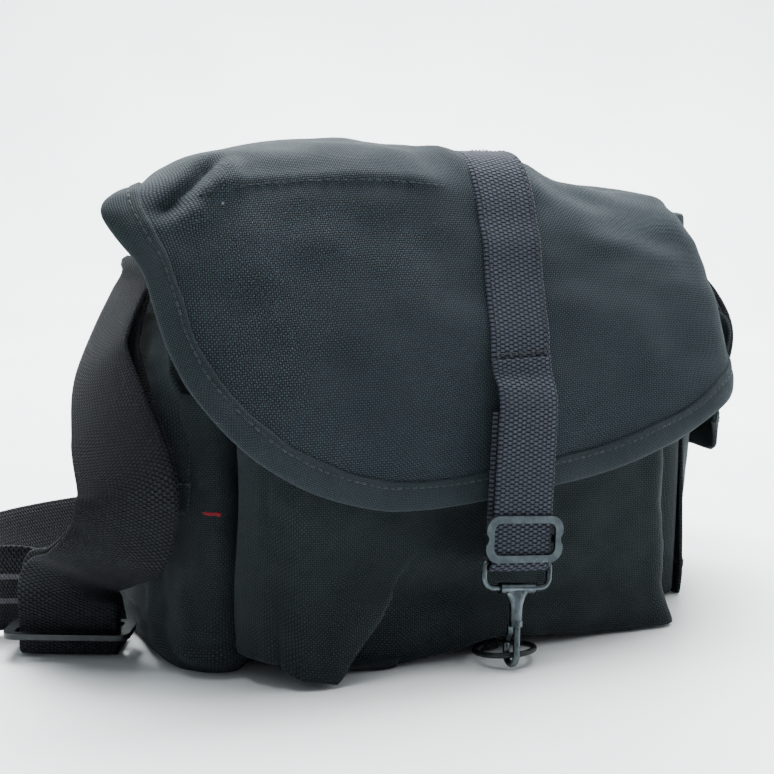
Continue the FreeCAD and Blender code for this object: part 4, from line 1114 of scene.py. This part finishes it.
def ring_strap():
    """The small tab that comes from under the bag and holds the split ring."""
    low, high = box("ring_tab")
    _, hub_y, hub_z = joint("ring_lift") / MM
    x = (low.x + high.x) / 2
    r = 1.75
    rows = [(-48.0, 1.3), (-60.0, 1.15), (-68.0, 1.1), (hub_y + 0.6, 1.15)]
    rows += arc(hub_y, hub_z, -r, range(20, 171, 30))
    rows += [(hub_y + 2.5, 4.5), (-66.0, 2.9), (-58.0, 2.35), (-50.0, 2.3)]
    path = arr(*[(x, y, z) for y, z in rows])
    ob = ribbon("ring_loop_tab", path, (1, 0, 0), high.x - low.x, 0.8, SHOULDER, step=1.0, crown=0.1)
    finish_piece(ob, "bag", ("ring_tab",))


ring_strap()

# ---- shoulder strap
STRAP_W, STRAP_T = 38.1, 1.7
# its middle, then the direction across its width, from the left ring down to the slide
LEFT_HANG = arr(
    (-129.4, 0, 139.4, 0, -1, 0),
    (-134, -0.7, 130, 0.02, -1, 0),
    (-141.5, -6.5, 114, 0.14, -0.99, 0),
    (-145, -24, 92, 0.48, -0.88, 0),
    (-145, -39.5, 68, 0.81, -0.58, 0),
    (-147, -34, 50, 0.86, -0.51, 0),
    (-153, -19, 38.5, 0.87, -0.49, 0),
    (-157.5, -5.6, 32, 0.87, -0.49, 0),
    (-158, -3, 25.7, 0.87, -0.49, 0),
)
# and from behind the slide along the floor, round the back and up to the right ring
FLOOR_RUN = arr(
    (-168, 23, 20.6, 0.10, -0.30, 1),
    (-180, 31, 20.8, 0, -0.30, 1),
    (-187, 46, 19.4, -0.30, 0.05, 1),
    (-178, 70, 19, -0.30, 0.25, 1),
    (-158, 88, 19, -0.18, 0.38, 1),
    (-132, 98, 19, -0.08, 0.40, 1),
    (-104, 101, 19.2, 0, 0.36, 1),
    (-60, 99, 19.6, 0, 0.22, 1),
    (-10, 95, 19.8, 0, 0.15, 1),
    (45, 94, 19.8, 0, 0.18, 1),
    (92, 92, 20, 0.05, 0.22, 1),
    (124, 80, 24, 0.12, 0.40, 0.92),
    (150, 66, 38, 0.10, 0.75, 0.62),
    (163, 46, 62, 0.05, 0.92, 0.38),
    (162, 24, 92, 0, 0.98, 0.18),
    (150, 6, 120, 0, 1, 0.05),
    (136, 0.6, 133, 0, 1, 0),
    (129.4, 0, 139.4, 0, 1, 0),
)
BACK_END = 11
SLIDE_ACROSS = unit(arr(0.87, -0.49, 0.0))


def two_layers(rows, far):
    """A doubled strap's two layers, each far from its middle, and their directions across."""
    c, w = rows[:, :3], unit(rows[:, 3:])
    along = unit(np.gradient(c, axis=0))
    w = square_to(w, along)
    n = np.cross(along, w) * np.array(far)[:, None]
    return c + n, c - n, w


def round_bar(x, z, side):
    """The middle of a strap's loop round a ring's bar, which runs along Y at (x, z)."""
    turn = np.radians(np.linspace(-40, 210, 7))
    return arr(*[(x + side * 2.5 * cos(t), 0, z + 2.5 * sin(t)) for t in turn])


slide_mid = arr(-158.0, -3.0, 10.0)
slide_out = np.cross(arr(0, 0, 1), SLIDE_ACROSS)


def hang(side, path, across, replaces):
    """A doubled strap through the ring at one end of the bag."""
    ob = ribbon(f"shoulder_strap_{side}", path, across, STRAP_W, STRAP_T - 0.2, SHOULDER)
    sign = -1 if side == "left" else 1
    bend_piece(ob, "webbing", replaces, f"strap_ring_{side}", "bag", (sign * 0.1255, 0, 0.146),
               (sign * 0.136, 0, 0.126))


def left_strap():
    outer, inner, w = two_layers(LEFT_HANG, [1.0, 1.6, 2.6, 2.2, 1.4, 1.0, 1.2, 2.2, 3.3])
    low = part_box("strap_ring_left")[0] / MM
    loop = round_bar(low.x + 1.6, low.z + 1.6, -1)
    # outer layer: from under the slide, up through its front slot
    front, back = slide_mid - slide_out * 3.4, slide_mid + slide_out * 3.4
    floor_z = 1.4
    start = [back + arr(0, 0, floor_z + 0.9 - 10), (front + back) / 2 + arr(0, 0, floor_z - 10),
             front + arr(0, 0, 2.6 - 10), front + arr(0, 0, 0), front + arr(0, 0, 7)]
    finish = [back + arr(0, 0, 7), back + arr(0, 0, 0), back + arr(0, 0, 5 - 10)]
    path = np.vstack([start, outer[::-1], loop, inner, finish])
    across = np.vstack([[SLIDE_ACROSS] * len(start), w[::-1], [(0, -1, 0)] * len(loop), w,
                        [SLIDE_ACROSS] * len(finish)])
    hang("left", path, across, ("strap_left_hang", "strap_end_left", "strap_fold"))


left_strap()


def floor_strap():
    """The strap behind the slide: it leaves along the floor, turns on edge, and runs round behind the bag."""
    rows = FLOOR_RUN[:BACK_END + 1]
    lead = [slide_mid + slide_out * s + arr(0, 0, z - 10) for s, z in ((-2.0, 1.7), (8.0, 1.7), (15.0, 2.4))]
    path = np.vstack([lead, rows[:, :3]])
    across = np.vstack([[SLIDE_ACROSS] * len(lead), unit(rows[:, 3:])])
    ob = ribbon("shoulder_strap_floor", path, across, STRAP_W, STRAP_T - 0.1, SHOULDER, step=2.5, under=GRIP)
    finish_piece(ob, "bag", ("strap_floor_loop", "strap_back_run"))


floor_strap()


def right_strap():
    # doubled from one section before the run behind the bag ends, where the layers hold that run's end
    inner, outer, w = two_layers(FLOOR_RUN[BACK_END - 1:], [0.9, 0.9, 1.0, 1.4, 2.0, 2.0, 1.2, 1.0])
    low, high = box("strap_ring_right")
    loop = round_bar(high.x - 1.6, low.z + 1.6, 1)
    path = np.vstack([outer, loop, inner[::-1]])
    across = np.vstack([w, [(0, 1, 0)] * len(loop), w[::-1]])
    hang("right", path, across, ("strap_right_hang", "strap_end_right"))


right_strap()

# ---- hardware keeps its CAD shape
for node, material in (("closure_slide", SATIN_METAL), ("shoulder_slide", BLACK_METAL),
                       ("hook_loop", GUNMETAL), ("hook_body", GUNMETAL), ("hook_gate", GUNMETAL),
                       ("catch_ring", BLACK_METAL), ("strap_ring_left", GUNMETAL),
                       ("strap_ring_right", GUNMETAL), ("base_board", BOARD)):
    ob = frame["nodes"][node]
    ob.data.materials.clear()
    ob.data.materials.append(material)
